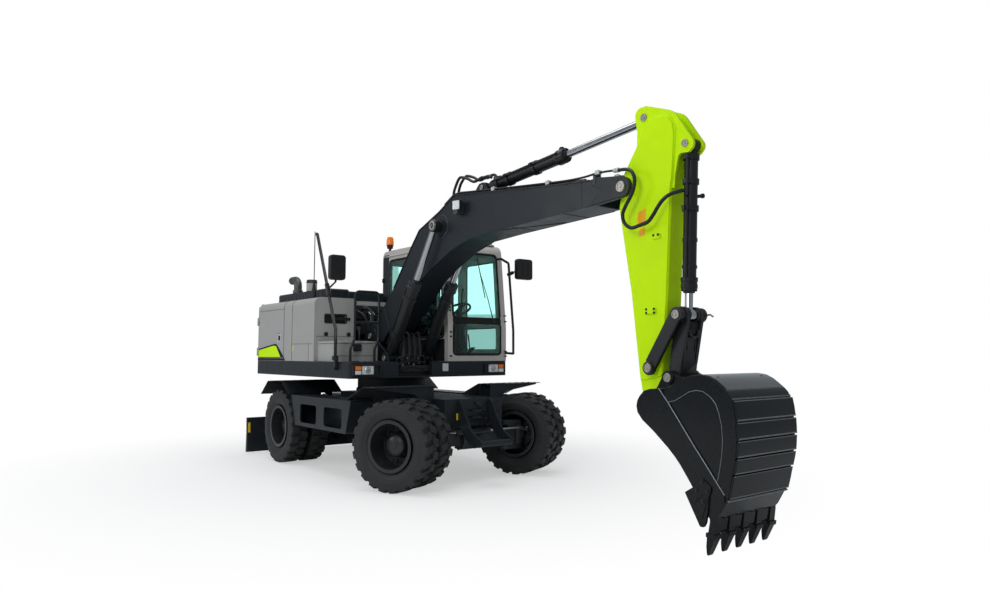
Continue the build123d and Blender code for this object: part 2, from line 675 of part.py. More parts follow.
# ---------------------------------------------------------------- platform
NOTCH_X = (400.0, 1000.0)
NOTCH_Y = (-560.0, 180.0)
SKIRT_GAP_Y = (-544.0, -40.0)
TAIL_JOINT = TAIL_SIDE + 375
TAIL_CHEEK = 80.0  # thickness of the deck's sides beside the counterweight
BRACKET_INNER = (BOOM_HALF + 15, BOOM_HALF + 45)
BRACKET_OUTER = (BOOM_CYLINDER_OUT + 50, BOOM_CYLINDER_OUT + 75)
FOOT_PIN = 45.0
with BuildPart() as platform:
    slab(
        [
            (TAIL_JOINT, -DECK_HALF, 0),
            (DECK_FRONT, -DECK_HALF, 60),
            (DECK_FRONT, DECK_HALF, 60),
            (TAIL_JOINT, DECK_HALF, 0),
        ],
        (DECK_BOTTOM, DECK_TOP),
    )
    for side in (-1, 1):
        block(
            (TAIL_SIDE, TAIL_JOINT),
            (side * (DECK_HALF - TAIL_CHEEK), side * DECK_HALF),
            (DECK_BOTTOM, DECK_TOP),
        )
    block(NOTCH_X, NOTCH_Y, (DECK_BOTTOM + 22, DECK_TOP), mode=Mode.SUBTRACT)
    block((NOTCH_X[1] - 1, DECK_FRONT), SKIRT_GAP_Y, (DECK_BOTTOM + 22, DECK_TOP), mode=Mode.SUBTRACT)
    with Locations((0, 0, (RING_TOP + BEARING_GAP + DECK_BOTTOM) / 2)):
        Cylinder(RING_RADIUS - 20, DECK_BOTTOM - RING_TOP - BEARING_GAP)
    for side in (-1, 1):
        # foot plate for the boom, running on to the cylinder's foot
        plate(
            [
                (-130, 1240, 0),
                (-130, 1600, 60),
                (20, 1870, 110),
                (240, 1870, 110),
                (330, 1680, 200),
                (560, 1545, 60),
                (790, 1550, 80),
                (830, 1400, 60),
                (830, 1240, 0),
            ],
            (BOOM_Y + side * BRACKET_INNER[0], BOOM_Y + side * BRACKET_INNER[1]),
        )
        plate(
            [(560, 1240, 0), (650, 1545, 80), (800, 1550, 80), (830, 1400, 60), (830, 1240, 0)],
            (BOOM_Y + side * BRACKET_OUTER[0], BOOM_Y + side * BRACKET_OUTER[1]),
        )
        bar_y(
            BOOM_CYLINDER_FOOT,
            PIN,
            (BOOM_Y + side * BRACKET_INNER[0], BOOM_Y + side * (BRACKET_OUTER[1] + 8)),
        )
    bar_y(BOOM_FOOT, FOOT_PIN, (BOOM_Y - BRACKET_INNER[1] - 12, BOOM_Y + BRACKET_INNER[1] + 12))
save(platform, "platform")

# ---------------------------------------------------------------- counterweight and engine
WEIGHT_BOTTOM = 1235.0
WEIGHT_TOP = 2239.0
WEIGHT_INNER = DECK_HALF - TAIL_CHEEK - 10
WEIGHT_OUTER = DECK_HALF - 20
WEIGHT_FRONT = TAIL_SIDE - 8
WEIGHT_JOINT = TAIL_JOINT - JOIN_GAP
with BuildPart() as counterweight:
    with BuildSketch(Plane.XY.offset(WEIGHT_BOTTOM)) as weight_face:
        with BuildLine():
            Line((TAIL_SHOULDER, WEIGHT_OUTER), (WEIGHT_FRONT, WEIGHT_OUTER))
            Line((WEIGHT_FRONT, WEIGHT_OUTER), (WEIGHT_FRONT, WEIGHT_INNER))
            Line((WEIGHT_FRONT, WEIGHT_INNER), (WEIGHT_JOINT, WEIGHT_INNER))
            Line((WEIGHT_JOINT, WEIGHT_INNER), (WEIGHT_JOINT, -WEIGHT_INNER))
            Line((WEIGHT_JOINT, -WEIGHT_INNER), (WEIGHT_FRONT, -WEIGHT_INNER))
            Line((WEIGHT_FRONT, -WEIGHT_INNER), (WEIGHT_FRONT, -WEIGHT_OUTER))
            Line((WEIGHT_FRONT, -WEIGHT_OUTER), (TAIL_SHOULDER, -WEIGHT_OUTER))
            ThreePointArc((TAIL_SHOULDER, -WEIGHT_OUTER), (-TAIL_RADIUS, 0), (TAIL_SHOULDER, WEIGHT_OUTER))
        make_face()
        fillet(weight_face.sketch.vertices().group_by(Axis.X)[1], 90)
    extrude(amount=WEIGHT_TOP - WEIGHT_BOTTOM)
save(counterweight, "counterweight")

ENGINE_X = (TAIL_JOINT + 95, -800.0)
ENGINE_Y = (-700.0, 600.0)
ENGINE_TOP = 2130.0
with BuildPart() as engine:
    block(ENGINE_X, ENGINE_Y, (DECK_TOP + JOIN_GAP, ENGINE_TOP))
save(engine, "engine")

# ---------------------------------------------------------------- hood
# Shell with a step in its front: the right part reaches furthest forward, the left part least
HOOD_BASE = DECK_TOP + JOIN_GAP
HOOD_RIGHT_Y = -607.0
HOOD_LEFT_Y = 190.0
HOOD_MID_X = -360.0
HOOD_LEFT_X = -730.0
HOOD_ROUND = 100.0
SERVICE_X = (TAIL_SIDE + 20, -950.0)
SERVICE_Z = (1470.0, 2160.0)
SERVICE_WALL = 30.0
SERVICE_HINGES = (1560.0, 2010.0)
SERVICE_HINGE_X = SERVICE_X[0] - HINGE_SHIFT


def hood_body(grow, front, rear, base, corner):
    """Fill the hood's stepped body, grown by an amount on every side."""
    with BuildSketch(Plane.YZ.offset(rear)) as section:
        with BuildLine() as edge:
            FilletPolyline(
                (-DECK_HALF - grow, base),
                (-DECK_HALF - grow, HOOD_TOP + grow),
                (DECK_HALF + grow, HOOD_TOP + grow),
                (DECK_HALF + grow, base),
                radius=[0, corner, corner, 0],
                close=True,
            )
        make_face(edge.line)
    extrude(section.sketch, amount=front - rear)
    block((HOOD_MID_X + grow, front + 1), (HOOD_RIGHT_Y + grow, DECK_HALF + 1), (0, 3000), mode=Mode.SUBTRACT)
    block((HOOD_LEFT_X + grow, front + 1), (HOOD_LEFT_Y + grow, DECK_HALF + 1), (0, 3000), mode=Mode.SUBTRACT)


with BuildPart() as hood_room:
    hood_body(-HOOD_WALL, HOOD_NOSE - HOOD_WALL, TAIL_SIDE - 1, HOOD_BASE - 1, HOOD_ROUND - HOOD_WALL)

with BuildPart() as hood:
    hood_body(0, HOOD_NOSE, TAIL_SIDE, HOOD_BASE, HOOD_ROUND)
    add(hood_room.part, mode=Mode.SUBTRACT)
    # roof running on over the counterweight
    slab(
        [
            (TAIL_SIDE, 50 - DECK_HALF, 0),
            (TAIL_SIDE, DECK_HALF - 50, 0),
            (TAIL_SHOULDER - 40, DECK_HALF - 70, 60),
            (TAIL_ROOF, 300, 500),
            (TAIL_ROOF, -300, 500),
            (TAIL_SHOULDER - 40, 70 - DECK_HALF, 60),
        ],
        (HOOD_TOP - HOOD_WALL, HOOD_TOP),
    )
    for side in (-1, 1):
        block(
            (SERVICE_X[0] - DOOR_GAP, SERVICE_X[1] + DOOR_GAP),
            (side * (DECK_HALF - HOOD_WALL - 1), side * (DECK_HALF + 1)),
            (SERVICE_Z[0] - DOOR_GAP, SERVICE_Z[1] + DOOR_GAP),
            mode=Mode.SUBTRACT,
        )
        for z in SERVICE_HINGES:
            hinge_half(SERVICE_HINGE_X, side * DECK_HALF, z - HINGE_LENGTH - BEARING_GAP, -HINGE_TAB)
    # recessed grip in the front face
    block((HOOD_NOSE - 25, HOOD_NOSE), (155 - DECK_HALF, 460 - DECK_HALF), (1945, 2050), mode=Mode.SUBTRACT)
save(hood, "hood")

# Service doors: the engine's on the right, the cooler's on the left
for name, side in (("engine_door", -1), ("cooler_door", 1)):
    with BuildPart() as service_door:
        block(SERVICE_X, (side * (DECK_HALF - SERVICE_WALL), side * DECK_HALF), SERVICE_Z)
        for z in SERVICE_HINGES:
            hinge_half(SERVICE_HINGE_X, side * DECK_HALF, z, HINGE_TAB)
        # grip near the free edge
        block(
            (-1150, -1060),
            (side * (DECK_HALF - 12), side * (DECK_HALF + 1)),
            (1710, 1790),
            mode=Mode.SUBTRACT,
        )
    save(service_door, name)

# Raised cover bolted on the hood's roof
COVER_BASE = HOOD_TOP + JOIN_GAP
COVER_TOP = 2420.0
COVER_REAR = TAIL_SIDE + 120
COVER_RIGHT = 245 - DECK_HALF
COVER_LEFT = DECK_HALF - 270
with BuildPart() as engine_cover:
    slab(
        [
            (COVER_REAR, COVER_RIGHT, 60),
            (-120, COVER_RIGHT, 60),
            (-120, -620, 40),
            (-400, -620, 20),
            (-400, 100, 60),
            (-750, 100, 10),
            (-750, COVER_LEFT, 60),
            (COVER_REAR, COVER_LEFT, 60),
        ],
        (COVER_BASE, COVER_TOP),
    )
    chamfer(engine_cover.faces().sort_by(Axis.Z)[-1].edges(), 18)
save(engine_cover, "engine_cover")

# Exhaust with its pipe turned to the rear
STACK_Y = 320 - DECK_HALF
EXHAUST_X = -1230.0
EXHAUST_RADIUS = 58.0
EXHAUST_BEND = 100.0
EXHAUST_WALL = 8.0
EXHAUST_SOCKET = (COVER_TOP + JOIN_GAP, COVER_TOP + 45)
BEND_Z = COVER_TOP + 100.0
MOUTH_Z = BEND_Z + EXHAUST_BEND
MOUTH_X = EXHAUST_X - EXHAUST_BEND - 110
with BuildPart() as exhaust:
    pipe = (EXHAUST_SOCKET[0], BEND_Z)
    for radius, z in ((EXHAUST_RADIUS + 14, EXHAUST_SOCKET), (EXHAUST_RADIUS, pipe)):
        with Locations((EXHAUST_X, STACK_Y, (z[0] + z[1]) / 2)):
            Cylinder(radius, z[1] - z[0])
    with BuildSketch(Plane.XY.offset(BEND_Z)):
        with Locations((EXHAUST_X, STACK_Y)):
            Circle(EXHAUST_RADIUS)
    revolve(axis=Axis((EXHAUST_X - EXHAUST_BEND, STACK_Y, BEND_Z), (0, -1, 0)), revolution_arc=90)
    elbow_end = (EXHAUST_X - EXHAUST_BEND, STACK_Y, MOUTH_Z)
    rod_between(elbow_end, (MOUTH_X, STACK_Y, MOUTH_Z), EXHAUST_RADIUS)
    rod_between(elbow_end, (MOUTH_X - 1, STACK_Y, MOUTH_Z), EXHAUST_RADIUS - EXHAUST_WALL, mode=Mode.SUBTRACT)
save(exhaust, "exhaust")

# Air precleaner: bowl with a narrower cap
CLEANER_X = -750.0
CLEANER_RADIUS = 75.0
CAP_RADIUS = 60.0
BOWL_TOP = COVER_TOP + 120.0
CAP_TOP = COVER_TOP + 165.0
with BuildPart() as precleaner:
    bowl = (COVER_TOP + JOIN_GAP, BOWL_TOP)
    for radius, z in ((CLEANER_RADIUS, bowl), (CAP_RADIUS, (BOWL_TOP, CAP_TOP))):
        with Locations((CLEANER_X, STACK_Y, (z[0] + z[1]) / 2)):
            Cylinder(radius, z[1] - z[0])
save(precleaner, "precleaner")

# Aerial: whip on a tapered rubber boot, beside the cover
AERIAL = (-260.0, 130 - DECK_HALF)
BOOT_HEIGHT = 230.0
WHIP_TOP = 3200.0
with BuildPart() as aerial:
    boot_base = HOOD_TOP + JOIN_GAP
    with Locations((AERIAL[0], AERIAL[1], boot_base + BOOT_HEIGHT / 2)):
        Cone(38, 12, BOOT_HEIGHT)
    rod_between((*AERIAL, boot_base + BOOT_HEIGHT - 5), (*AERIAL, WHIP_TOP), 6)
save(aerial, "aerial")

# ---------------------------------------------------------------- storage box
BOX_X = (HOOD_NOSE + JOIN_GAP, 585.0)
BOX_Y = (50 - DECK_HALF, 650 - DECK_HALF)
BOX_WALL = 25.0
BOX_TOP = 1660.0
LID_TOP = 1690.0
LID_HINGE = (70.0, 1675.0)
LID_X = LID_HINGE[0] + 11
LID_HINGES_Y = (BOX_Y[0] + 70, BOX_Y[1] - 130)
with BuildPart() as storage_box:
    block(BOX_X, BOX_Y, (DECK_TOP + JOIN_GAP, BOX_TOP))
    block(
        (BOX_X[0] + BOX_WALL, BOX_X[1] - BOX_WALL),
        (BOX_Y[0] + BOX_WALL, BOX_Y[1] - BOX_WALL),
        (DECK_TOP + BOX_WALL + 5, BOX_TOP),
        mode=Mode.SUBTRACT,
    )
    for y in LID_HINGES_Y:
        bar_y(LID_HINGE, 8, (y, y + HINGE_LENGTH))
        block((LID_HINGE[0] - 8, LID_HINGE[0] + 4), (y, y + HINGE_LENGTH), (BOX_TOP - 5, LID_HINGE[1]))
save(storage_box, "storage_box")

with BuildPart() as storage_lid:
    block((LID_X, BOX_X[1] + 8), (BOX_Y[0] - 8, BOX_Y[1] + 4), (BOX_TOP + DOOR_GAP, LID_TOP))
    for y in LID_HINGES_Y:
        low = y + HINGE_LENGTH + BEARING_GAP
        bar_y(LID_HINGE, 8, (low, low + HINGE_LENGTH))
        block((LID_HINGE[0], LID_X + 5), (low, low + HINGE_LENGTH), (LID_HINGE[1] - 5, LID_HINGE[1] + 5))
save(storage_lid, "storage_lid")

# ---------------------------------------------------------------- cab
CAB_DOOR_X = 50.0
CAB_HINGES = (1620.0, 2150.0, 2700.0)
ROOF_FRONT = 945.0
CAB_BEND = 1900.0  # height where the front starts to lean back
CAB_OUTLINE = [
    (CAB_REAR, CAB_BASE, 0),
    (CAB_REAR, CAB_TOP, 90),
    (ROOF_FRONT, CAB_TOP, 130),
    (CAB_FRONT, CAB_BEND, 60),
    (CAB_FRONT, CAB_BASE, 0),
]
FRONT_SLOPE = (CAB_FRONT - ROOF_FRONT) / (CAB_TOP - CAB_BEND)
RIGHT_WINDOW = [(-480, 1750, 60), (-480, 2920, 60), (850, 2920, 60), (955, 1900, 60), (955, 1750, 60)]
LEFT_WINDOW = [(-600, 1900, 60), (-600, 2920, 60), (-40, 2920, 60), (-40, 1900, 60)]
DOOR_OUTLINE = [
    (CAB_DOOR_X, 1500, 60),
    (CAB_DOOR_X, 2930, 60),
    (880, 2930, 60),
    (965, 1980, 60),
    (965, 1500, 60),
]
DOOR_HIGH_WINDOW = [(130, 1990, 50), (130, 2850, 50), (815, 2850, 50), (885, 1990, 50)]
DOOR_LOW_WINDOW = [(130, 1580, 50), (130, 1900, 50), (885, 1900, 50), (885, 1580, 50)]
WINDSCREEN_Y = (CAB_RIGHT + 90, CAB_LEFT - 100)
WINDSCREEN_LOW = (1520.0, 1950.0)
WINDSCREEN_HIGH = (2010.0, 2920.0)
REAR_WINDOW_Z = (2000.0, 2880.0)
REAR_WINDOW_Y = (CAB_RIGHT + 120, CAB_LEFT - 120)
ROOF_WINDOW_X = (250.0, 780.0)
ROOF_WINDOW_Y = (CAB_RIGHT + 150, CAB_LEFT - 150)
CAB_DOOR = 45.0


def windscreen(z, y, depth, inset, mode=Mode.ADD):
    """Add a slab that follows the cab's front, from one height to another, between two depths behind it."""
    low, high = z[0] + inset, z[1] - inset
    rows = [low, high] if high <= CAB_BEND or low >= CAB_BEND else [low, CAB_BEND, high]
    face = [(CAB_FRONT - max(0, height - CAB_BEND) * FRONT_SLOPE, height) for height in rows]
    corners = [(x - depth[0], height, 0) for x, height in face]
    corners += [(x - depth[1], height, 0) for x, height in reversed(face)]
    plate(corners, (y[0] + inset, y[1] - inset), mode=mode)


with BuildPart() as cab:
    plate(CAB_OUTLINE, (CAB_RIGHT, CAB_LEFT))
    plate(CAB_OUTLINE, (CAB_RIGHT + CAB_WALL, CAB_LEFT - CAB_WALL), mode=Mode.SUBTRACT, inset=CAB_WALL)
    for z in (WINDSCREEN_LOW, WINDSCREEN_HIGH):
        windscreen(z, WINDSCREEN_Y, (-5, CAB_WALL + 5), 0, mode=Mode.SUBTRACT)
    plate(RIGHT_WINDOW, (CAB_RIGHT - 1, CAB_RIGHT + CAB_WALL + 1), mode=Mode.SUBTRACT)
    plate(LEFT_WINDOW, (CAB_LEFT - CAB_WALL - 1, CAB_LEFT + 1), mode=Mode.SUBTRACT)
    plate(DOOR_OUTLINE, (CAB_LEFT - CAB_WALL - 1, CAB_LEFT + 1), mode=Mode.SUBTRACT, inset=-DOOR_GAP)
    block((CAB_REAR - 1, CAB_REAR + CAB_WALL + 1), REAR_WINDOW_Y, REAR_WINDOW_Z, mode=Mode.SUBTRACT)
    block(ROOF_WINDOW_X, ROOF_WINDOW_Y, (CAB_TOP - CAB_WALL - 1, CAB_TOP + 1), mode=Mode.SUBTRACT)
    for z in CAB_HINGES:
        hinge_half(CAB_DOOR_X - HINGE_SHIFT, CAB_LEFT, z - HINGE_LENGTH - BEARING_GAP, -HINGE_TAB)
save(cab, "cab")

with BuildPart() as cab_glass:
    for z in (WINDSCREEN_LOW, WINDSCREEN_HIGH):
        windscreen(z, WINDSCREEN_Y, (15, 15 + GLASS), JOIN_GAP)
    plate(RIGHT_WINDOW, (CAB_RIGHT + 15, CAB_RIGHT + 15 + GLASS), inset=JOIN_GAP)
    plate(LEFT_WINDOW, (CAB_LEFT - 15 - GLASS, CAB_LEFT - 15), inset=JOIN_GAP)
    block(
        (CAB_REAR + 15, CAB_REAR + 15 + GLASS),
        (REAR_WINDOW_Y[0] + JOIN_GAP, REAR_WINDOW_Y[1] - JOIN_GAP),
        (REAR_WINDOW_Z[0] + JOIN_GAP, REAR_WINDOW_Z[1] - JOIN_GAP),
    )
    block(
        (ROOF_WINDOW_X[0] + JOIN_GAP, ROOF_WINDOW_X[1] - JOIN_GAP),
        (ROOF_WINDOW_Y[0] + JOIN_GAP, ROOF_WINDOW_Y[1] - JOIN_GAP),
        (CAB_TOP - 15 - GLASS, CAB_TOP - 15),
    )
save(cab_glass, "cab_glass")

with BuildPart() as cab_door:
    plate(DOOR_OUTLINE, (CAB_LEFT - CAB_DOOR, CAB_LEFT))
    for window in (DOOR_HIGH_WINDOW, DOOR_LOW_WINDOW):
        plate(window, (CAB_LEFT - CAB_DOOR - 1, CAB_LEFT + 1), mode=Mode.SUBTRACT)
    for z in CAB_HINGES:
        hinge_half(CAB_DOOR_X - HINGE_SHIFT, CAB_LEFT, z, HINGE_TAB)
save(cab_door, "cab_door")

with BuildPart() as cab_door_glass:
    for window in (DOOR_HIGH_WINDOW, DOOR_LOW_WINDOW):
        plate(window, (CAB_LEFT - 15 - GLASS, CAB_LEFT - 15), inset=JOIN_GAP)
save(cab_door_glass, "cab_door_glass")

# Driver's place: seat on its box, consoles with levers, steering column and wheel
FLOOR = CAB_BASE + CAB_WALL
SEAT_Y = (CAB_RIGHT + CAB_LEFT) / 2
with BuildPart() as seat:
    block((-330, 130), (SEAT_Y - 200, SEAT_Y + 200), (FLOOR + JOIN_GAP, 1800))
    plate(
        [(-330, 1780, 20), (-330, 1900, 20), (190, 1930, 50), (190, 1800, 50)],
        (SEAT_Y - 250, SEAT_Y + 250),
    )
    plate(
        [(-420, 1800, 40), (-520, 2560, 40), (-400, 2580, 50), (-270, 1850, 40)],
        (SEAT_Y - 240, SEAT_Y + 240),
    )
    plate(
        [(-515, 2540, 20), (-535, 2740, 40), (-440, 2740, 40), (-420, 2540, 20)],
        (SEAT_Y - 130, SEAT_Y + 130),
    )
save(seat, "seat")

with BuildPart() as console:
    for side in (-1, 1):
        plate(
            [
                (-300, FLOOR + JOIN_GAP, 0),
                (-300, 2080, 40),
                (230, 2060, 60),
                (200, 1950, 30),
                (0, FLOOR + JOIN_GAP, 0),
            ],
            (SEAT_Y + side * 265, SEAT_Y + side * 400),
        )
        rod_between((180, SEAT_Y + side * 330, 2040), (200, SEAT_Y + side * 330, 2200), 14)
        with Locations((202, SEAT_Y + side * 330, 2220)):
            Sphere(32)
    block((710, 810), (SEAT_Y - 60, SEAT_Y + 60), (FLOOR + JOIN_GAP, FLOOR + 40))
    rod_between((760, SEAT_Y, FLOOR + 13), (600, SEAT_Y, 2140), 45)
    with BuildSketch(Plane(origin=(600, SEAT_Y, 2140), z_dir=(-0.45, 0, 0.9))):
        Circle(190)
        Circle(165, mode=Mode.SUBTRACT)
        Rectangle(340, 36)
    extrude(amount=24)
    # display on the right front pillar
    block((880, 930), (290, 400), (2120, 2340))
    rod_between((905, 345, FLOOR + JOIN_GAP), (905, 345, 2150), 18)
save(console, "console")

# ---------------------------------------------------------------- rails, mirrors and lamps
RAIL = 17.0
POLE = 20.0
POLE_Y = -DECK_HALF - 30
HOOP_X = 680.0
HOOP_Y = (265 - DECK_HALF, 610 - DECK_HALF)
HOOP_TOP = 2325.0
HOOP_ROUND = 60.0
HOOP_BAR = 1930.0
HOOP_BASE = DECK_TOP + JOIN_GAP
HOOP_CRANK = 60.0  # how far outboard the feet stand of the legs
GRAB_X = CAB_FRONT + 83  # upright handrail left of the windscreen
GRAB_Y = CAB_LEFT + 65
HOOP_RUN = (
    (HOOP_X, HOOP_Y[0] - HOOP_CRANK, HOOP_BASE),
    (HOOP_X, HOOP_Y[0] - HOOP_CRANK, 1590),
    (HOOP_X, HOOP_Y[0], 1720),
    (HOOP_X, HOOP_Y[0], HOOP_TOP),
    (HOOP_X, HOOP_Y[1], HOOP_TOP),
    (HOOP_X, HOOP_Y[1], 1720),
    (HOOP_X, HOOP_Y[1] - HOOP_CRANK, 1590),
    (HOOP_X, HOOP_Y[1] - HOOP_CRANK, HOOP_BASE),
)
HOOP_PLANE = Plane(origin=(HOOP_X, 0, 0), x_dir=(0, 1, 0), z_dir=(1, 0, 0))
# start, end, radius of each straight run on the right of the machine
RAILS = (
    ((HOOP_X, HOOP_Y[0], HOOP_BAR), (HOOP_X, HOOP_Y[1], HOOP_BAR), RAIL),
    ((740, POLE_Y, 1455), (740, POLE_Y, 1830), POLE),
    ((740, POLE_Y, 1820), (160, POLE_Y, 3100), POLE),
    ((500, POLE_Y, 2350), (600, POLE_Y + 60, 2440), 10),
    ((600, POLE_Y + 60, 2432), (600, POLE_Y + 60, 2460.5), 10),
)
CAB_RAILS = (
    ((CAB_FRONT + 40, CAB_LEFT - 120, 2860), (GRAB_X, CAB_LEFT - 20, 2800), RAIL),
    ((GRAB_X, CAB_LEFT - 20, 2800), (GRAB_X, GRAB_Y, 1850), RAIL),
    ((GRAB_X, GRAB_Y, 1850), (GRAB_X, GRAB_Y, 1520), RAIL),
    ((CAB_FRONT + 14, CAB_LEFT - 30, 1540), (GRAB_X, GRAB_Y, 1530), RAIL),
    ((GRAB_X, CAB_LEFT + 5, 2650), (GRAB_X, CAB_LEFT + 120, 2700), 12),
    ((GRAB_X - 10, CAB_LEFT + 115, 2698), (GRAB_X + 34.5, CAB_LEFT + 115, 2698), 12),
    ((CAB_FRONT - 60, CAB_LEFT - 125, 2860), (CAB_FRONT + 45, CAB_LEFT - 120, 2860), RAIL),
)
with BuildPart() as rails:
    for start, end, radius in RAILS:
        rod_between(start, end, radius)
    with BuildLine(HOOP_PLANE) as run:
        FilletPolyline(*[(y, z) for x, y, z in HOOP_RUN], radius=HOOP_ROUND)
    with BuildSketch(Plane.XY.offset(HOOP_BASE)) as section:
        with Locations(HOOP_RUN[0][:2]):
            Circle(RAIL)
    sweep(section.sketch, path=run.line)
    block((715, 765), (POLE_Y - 12, -DECK_HALF - JOIN_GAP), (1330, 1480))
save(rails, "rails")

with BuildPart() as cab_rail:
    for start, end, radius in CAB_RAILS:
        rod_between(start, end, radius)
save(cab_rail, "cab_rail")

# name, x, y, z of its middle, width, height
MIRRORS = (
    ("mirror_right", 600, POLE_Y + 73, 2620, 214, 318),
    ("mirror_left", GRAB_X + 75, CAB_LEFT + 195, 2720, 280, 290),
)
with BuildPart() as mirrors:
    for name, x, y, z, width, height in MIRRORS:
        block((x - 40, x + 40), (y - width / 2, y + width / 2), (z - height / 2, z + height / 2))
    fillet(mirrors.edges().filter_by(Axis.X), 40)
save(mirrors, "mirrors")

with BuildPart() as lamps:
    # pods in the deck's front corners
    for y in ((-1190, -806), (810, 1166)):
        block((DECK_FRONT + JOIN_GAP, DECK_FRONT + 30), y, (1260, 1400))
    # beacon on the rear of the cab's roof and a work lamp on its front
    with Locations((-600, 290, CAB_TOP + JOIN_GAP + 30)):
        Cylinder(45, 60)
    with Locations((-600, 290, CAB_TOP + 150)):
        Cylinder(58, 180)
    block((830, 890), (1020, 1120), (CAB_TOP + JOIN_GAP, CAB_TOP + 110))
save(lamps, "lamps")

# ---------------------------------------------------------------- boom
BOOM_LOWER = (
    (373, 1680, 0),
    (878, 2083, 500),
    (1340, 2455, 0),
    (1562, 2575, 500),
    (1986, 2758, 500),
    (2351, 2851, 500),
    (2891, 2880, 0),
    (4267, 2923, 60),
)
BOOM_UPPER = (
    (4604, 3141, 0),
    (4393, 3187, 100),
    (4268, 3182, 100),
    (3690, 3233, 0),
    (2043, 3417, 200),
    (1721, 3262, 0),
    (1273, 3092, 300),
    (1071, 2877, 100),
    (657, 2399, 0),
    (320, 2091, 0),
)
FORK_FROM = 4330.0
FORK_IN = BOOM_HALF - 40
ARM_PIN = 50.0
BOOM_BARREL = 72.5
BOOM_ROD = 40.0
EYE_HALF = 42.0


def boom_piece(corners, half, mode=Mode.ADD):
    """Add an upright plate of a half width about the boom's middle plane."""
    plate(corners, (BOOM_Y - half, BOOM_Y + half), mode=mode)


def boom_bar(place, radius, half, mode=Mode.ADD):
    """Add a bar along Y of a half length about the boom's middle plane."""
    bar_y(place, radius, (BOOM_Y - half, BOOM_Y + half), mode=mode)


def boom_pair(corners, inner, outer, mode=Mode.ADD):
    """Add a plate each side of the boom's middle plane, between two distances from it."""
    for side in (-1, 1):
        plate(corners, (BOOM_Y + side * inner, BOOM_Y + side * outer), mode=mode)


with BuildPart() as boom:
    boom_piece(list(BOOM_LOWER) + [(4664, 2949, 0)] + list(BOOM_UPPER), BOOM_HALF)
    boom_bar(BOOM_FOOT, 130, BOOM_HALF)
    boom_piece([(80, 1650, 0), (373, 1690, 0), (420, 2150, 0), (320, 2091, 0), (30, 1850, 60)], BOOM_HALF)
    boom_bar(BOOM_TIP, 96, BOOM_HALF)
    # fork for the arm
    boom_piece(
        [(FORK_FROM, 2800, 0), (4900, 2800, 0), (4900, 3300, 0), (FORK_FROM, 3300, 0)],
        FORK_IN,
        Mode.SUBTRACT,
    )
    boom_bar(BOOM_FOOT, FOOT_PIN + BEARING_GAP, BOOM_HALF + 1, Mode.SUBTRACT)
    boom_bar(BOOM_TIP, ARM_PIN + BEARING_GAP, BOOM_HALF + 1, Mode.SUBTRACT)
    # bosses that the lifting cylinders' eyes stand against
    boom_bar(BOOM_CYLINDER_EYE, 105, BOOM_HALF + 18)
    boom_bar(BOOM_CYLINDER_EYE, 62, BOOM_CYLINDER_OUT - EYE_HALF - DOOR_GAP)
    # bracket on top for the arm's cylinder
    boom_pair(
        [(2180, 3300, 0), (2390, 3500, 60), (2490, 3510, 70), (2590, 3340, 0), (2590, 3280, 0)],
        EYE_HALF + 12,
        EYE_HALF + 37,
    )
    boom_bar(ARM_CYLINDER_FOOT, PIN, EYE_HALF + 45)
save(boom, "boom")

# ---------------------------------------------------------------- boom cylinders
with BuildPart() as boom_cylinders:
    for side in (-1, 1):
        barrel(
            BOOM_CYLINDER_FOOT,
            BOOM_CYLINDER_EYE,
            BOOM_Y + side * BOOM_CYLINDER_OUT,
            BOOM_BARREL,
            EYE_HALF,
            1142,
            BOOM_ROD,
        )
save(boom_cylinders, "boom_cylinders")

with BuildPart() as boom_rods:
    for side in (-1, 1):
        y = BOOM_Y + side * BOOM_CYLINDER_OUT
        piston_rod(BOOM_CYLINDER_FOOT, BOOM_CYLINDER_EYE, y, 600, EYE_HALF, BOOM_ROD, 78)
save(boom_rods, "boom_rods")

# ---------------------------------------------------------------- arm cylinder
ARM_BARREL = 66.0
ARM_ROD = 38.0
ARM_EYE_HALF = 45.0
STUB_HALF = 52.0
with BuildPart() as arm_cylinder:
    barrel(ARM_CYLINDER_FOOT, ARM_CYLINDER_EYE, BOOM_Y, ARM_BARREL, EYE_HALF, 1327, ARM_ROD)
save(arm_cylinder, "arm_cylinder")

with BuildPart() as arm_rod:
    piston_rod(ARM_CYLINDER_FOOT, ARM_CYLINDER_EYE, BOOM_Y, 770, ARM_EYE_HALF, ARM_ROD, 66)
    boom_bar(ARM_CYLINDER_EYE, PIN, STUB_HALF)
save(arm_rod, "arm_rod")

# ---------------------------------------------------------------- arm
ARM_CORE = [
    (4806, 1180, 0),
    (4782, 1319, 0),
    (4693, 2079, 0),
    (4560, 2869, 150),
    (4615, 3110, 60),
    (4760, 3310, 60),
    (4850, 3500, 100),
    (4918, 3630, 75),
    (5143, 3638, 90),
    (5214, 3480, 60),
    (5195, 3285, 0),
    (5157, 2979, 0),
    (5092, 1983, 0),
    (5028, 1343, 0),
    (5090, 1140, 0),
]
ARM_CHEEK = [
    (4600, 3160, 0),
    (4775, 3410, 80),
    (4780, 3540, 60),
    (4748, 3756, 70),
    (4885, 3758, 60),
    (5185, 3640, 180),
    (5408, 3300, 62),
    (5335, 3236, 40),
    (5235, 3252, 40),
    (5192, 3061, 0),
    (5184, 2960, 0),
    (4850, 2950, 0),
]
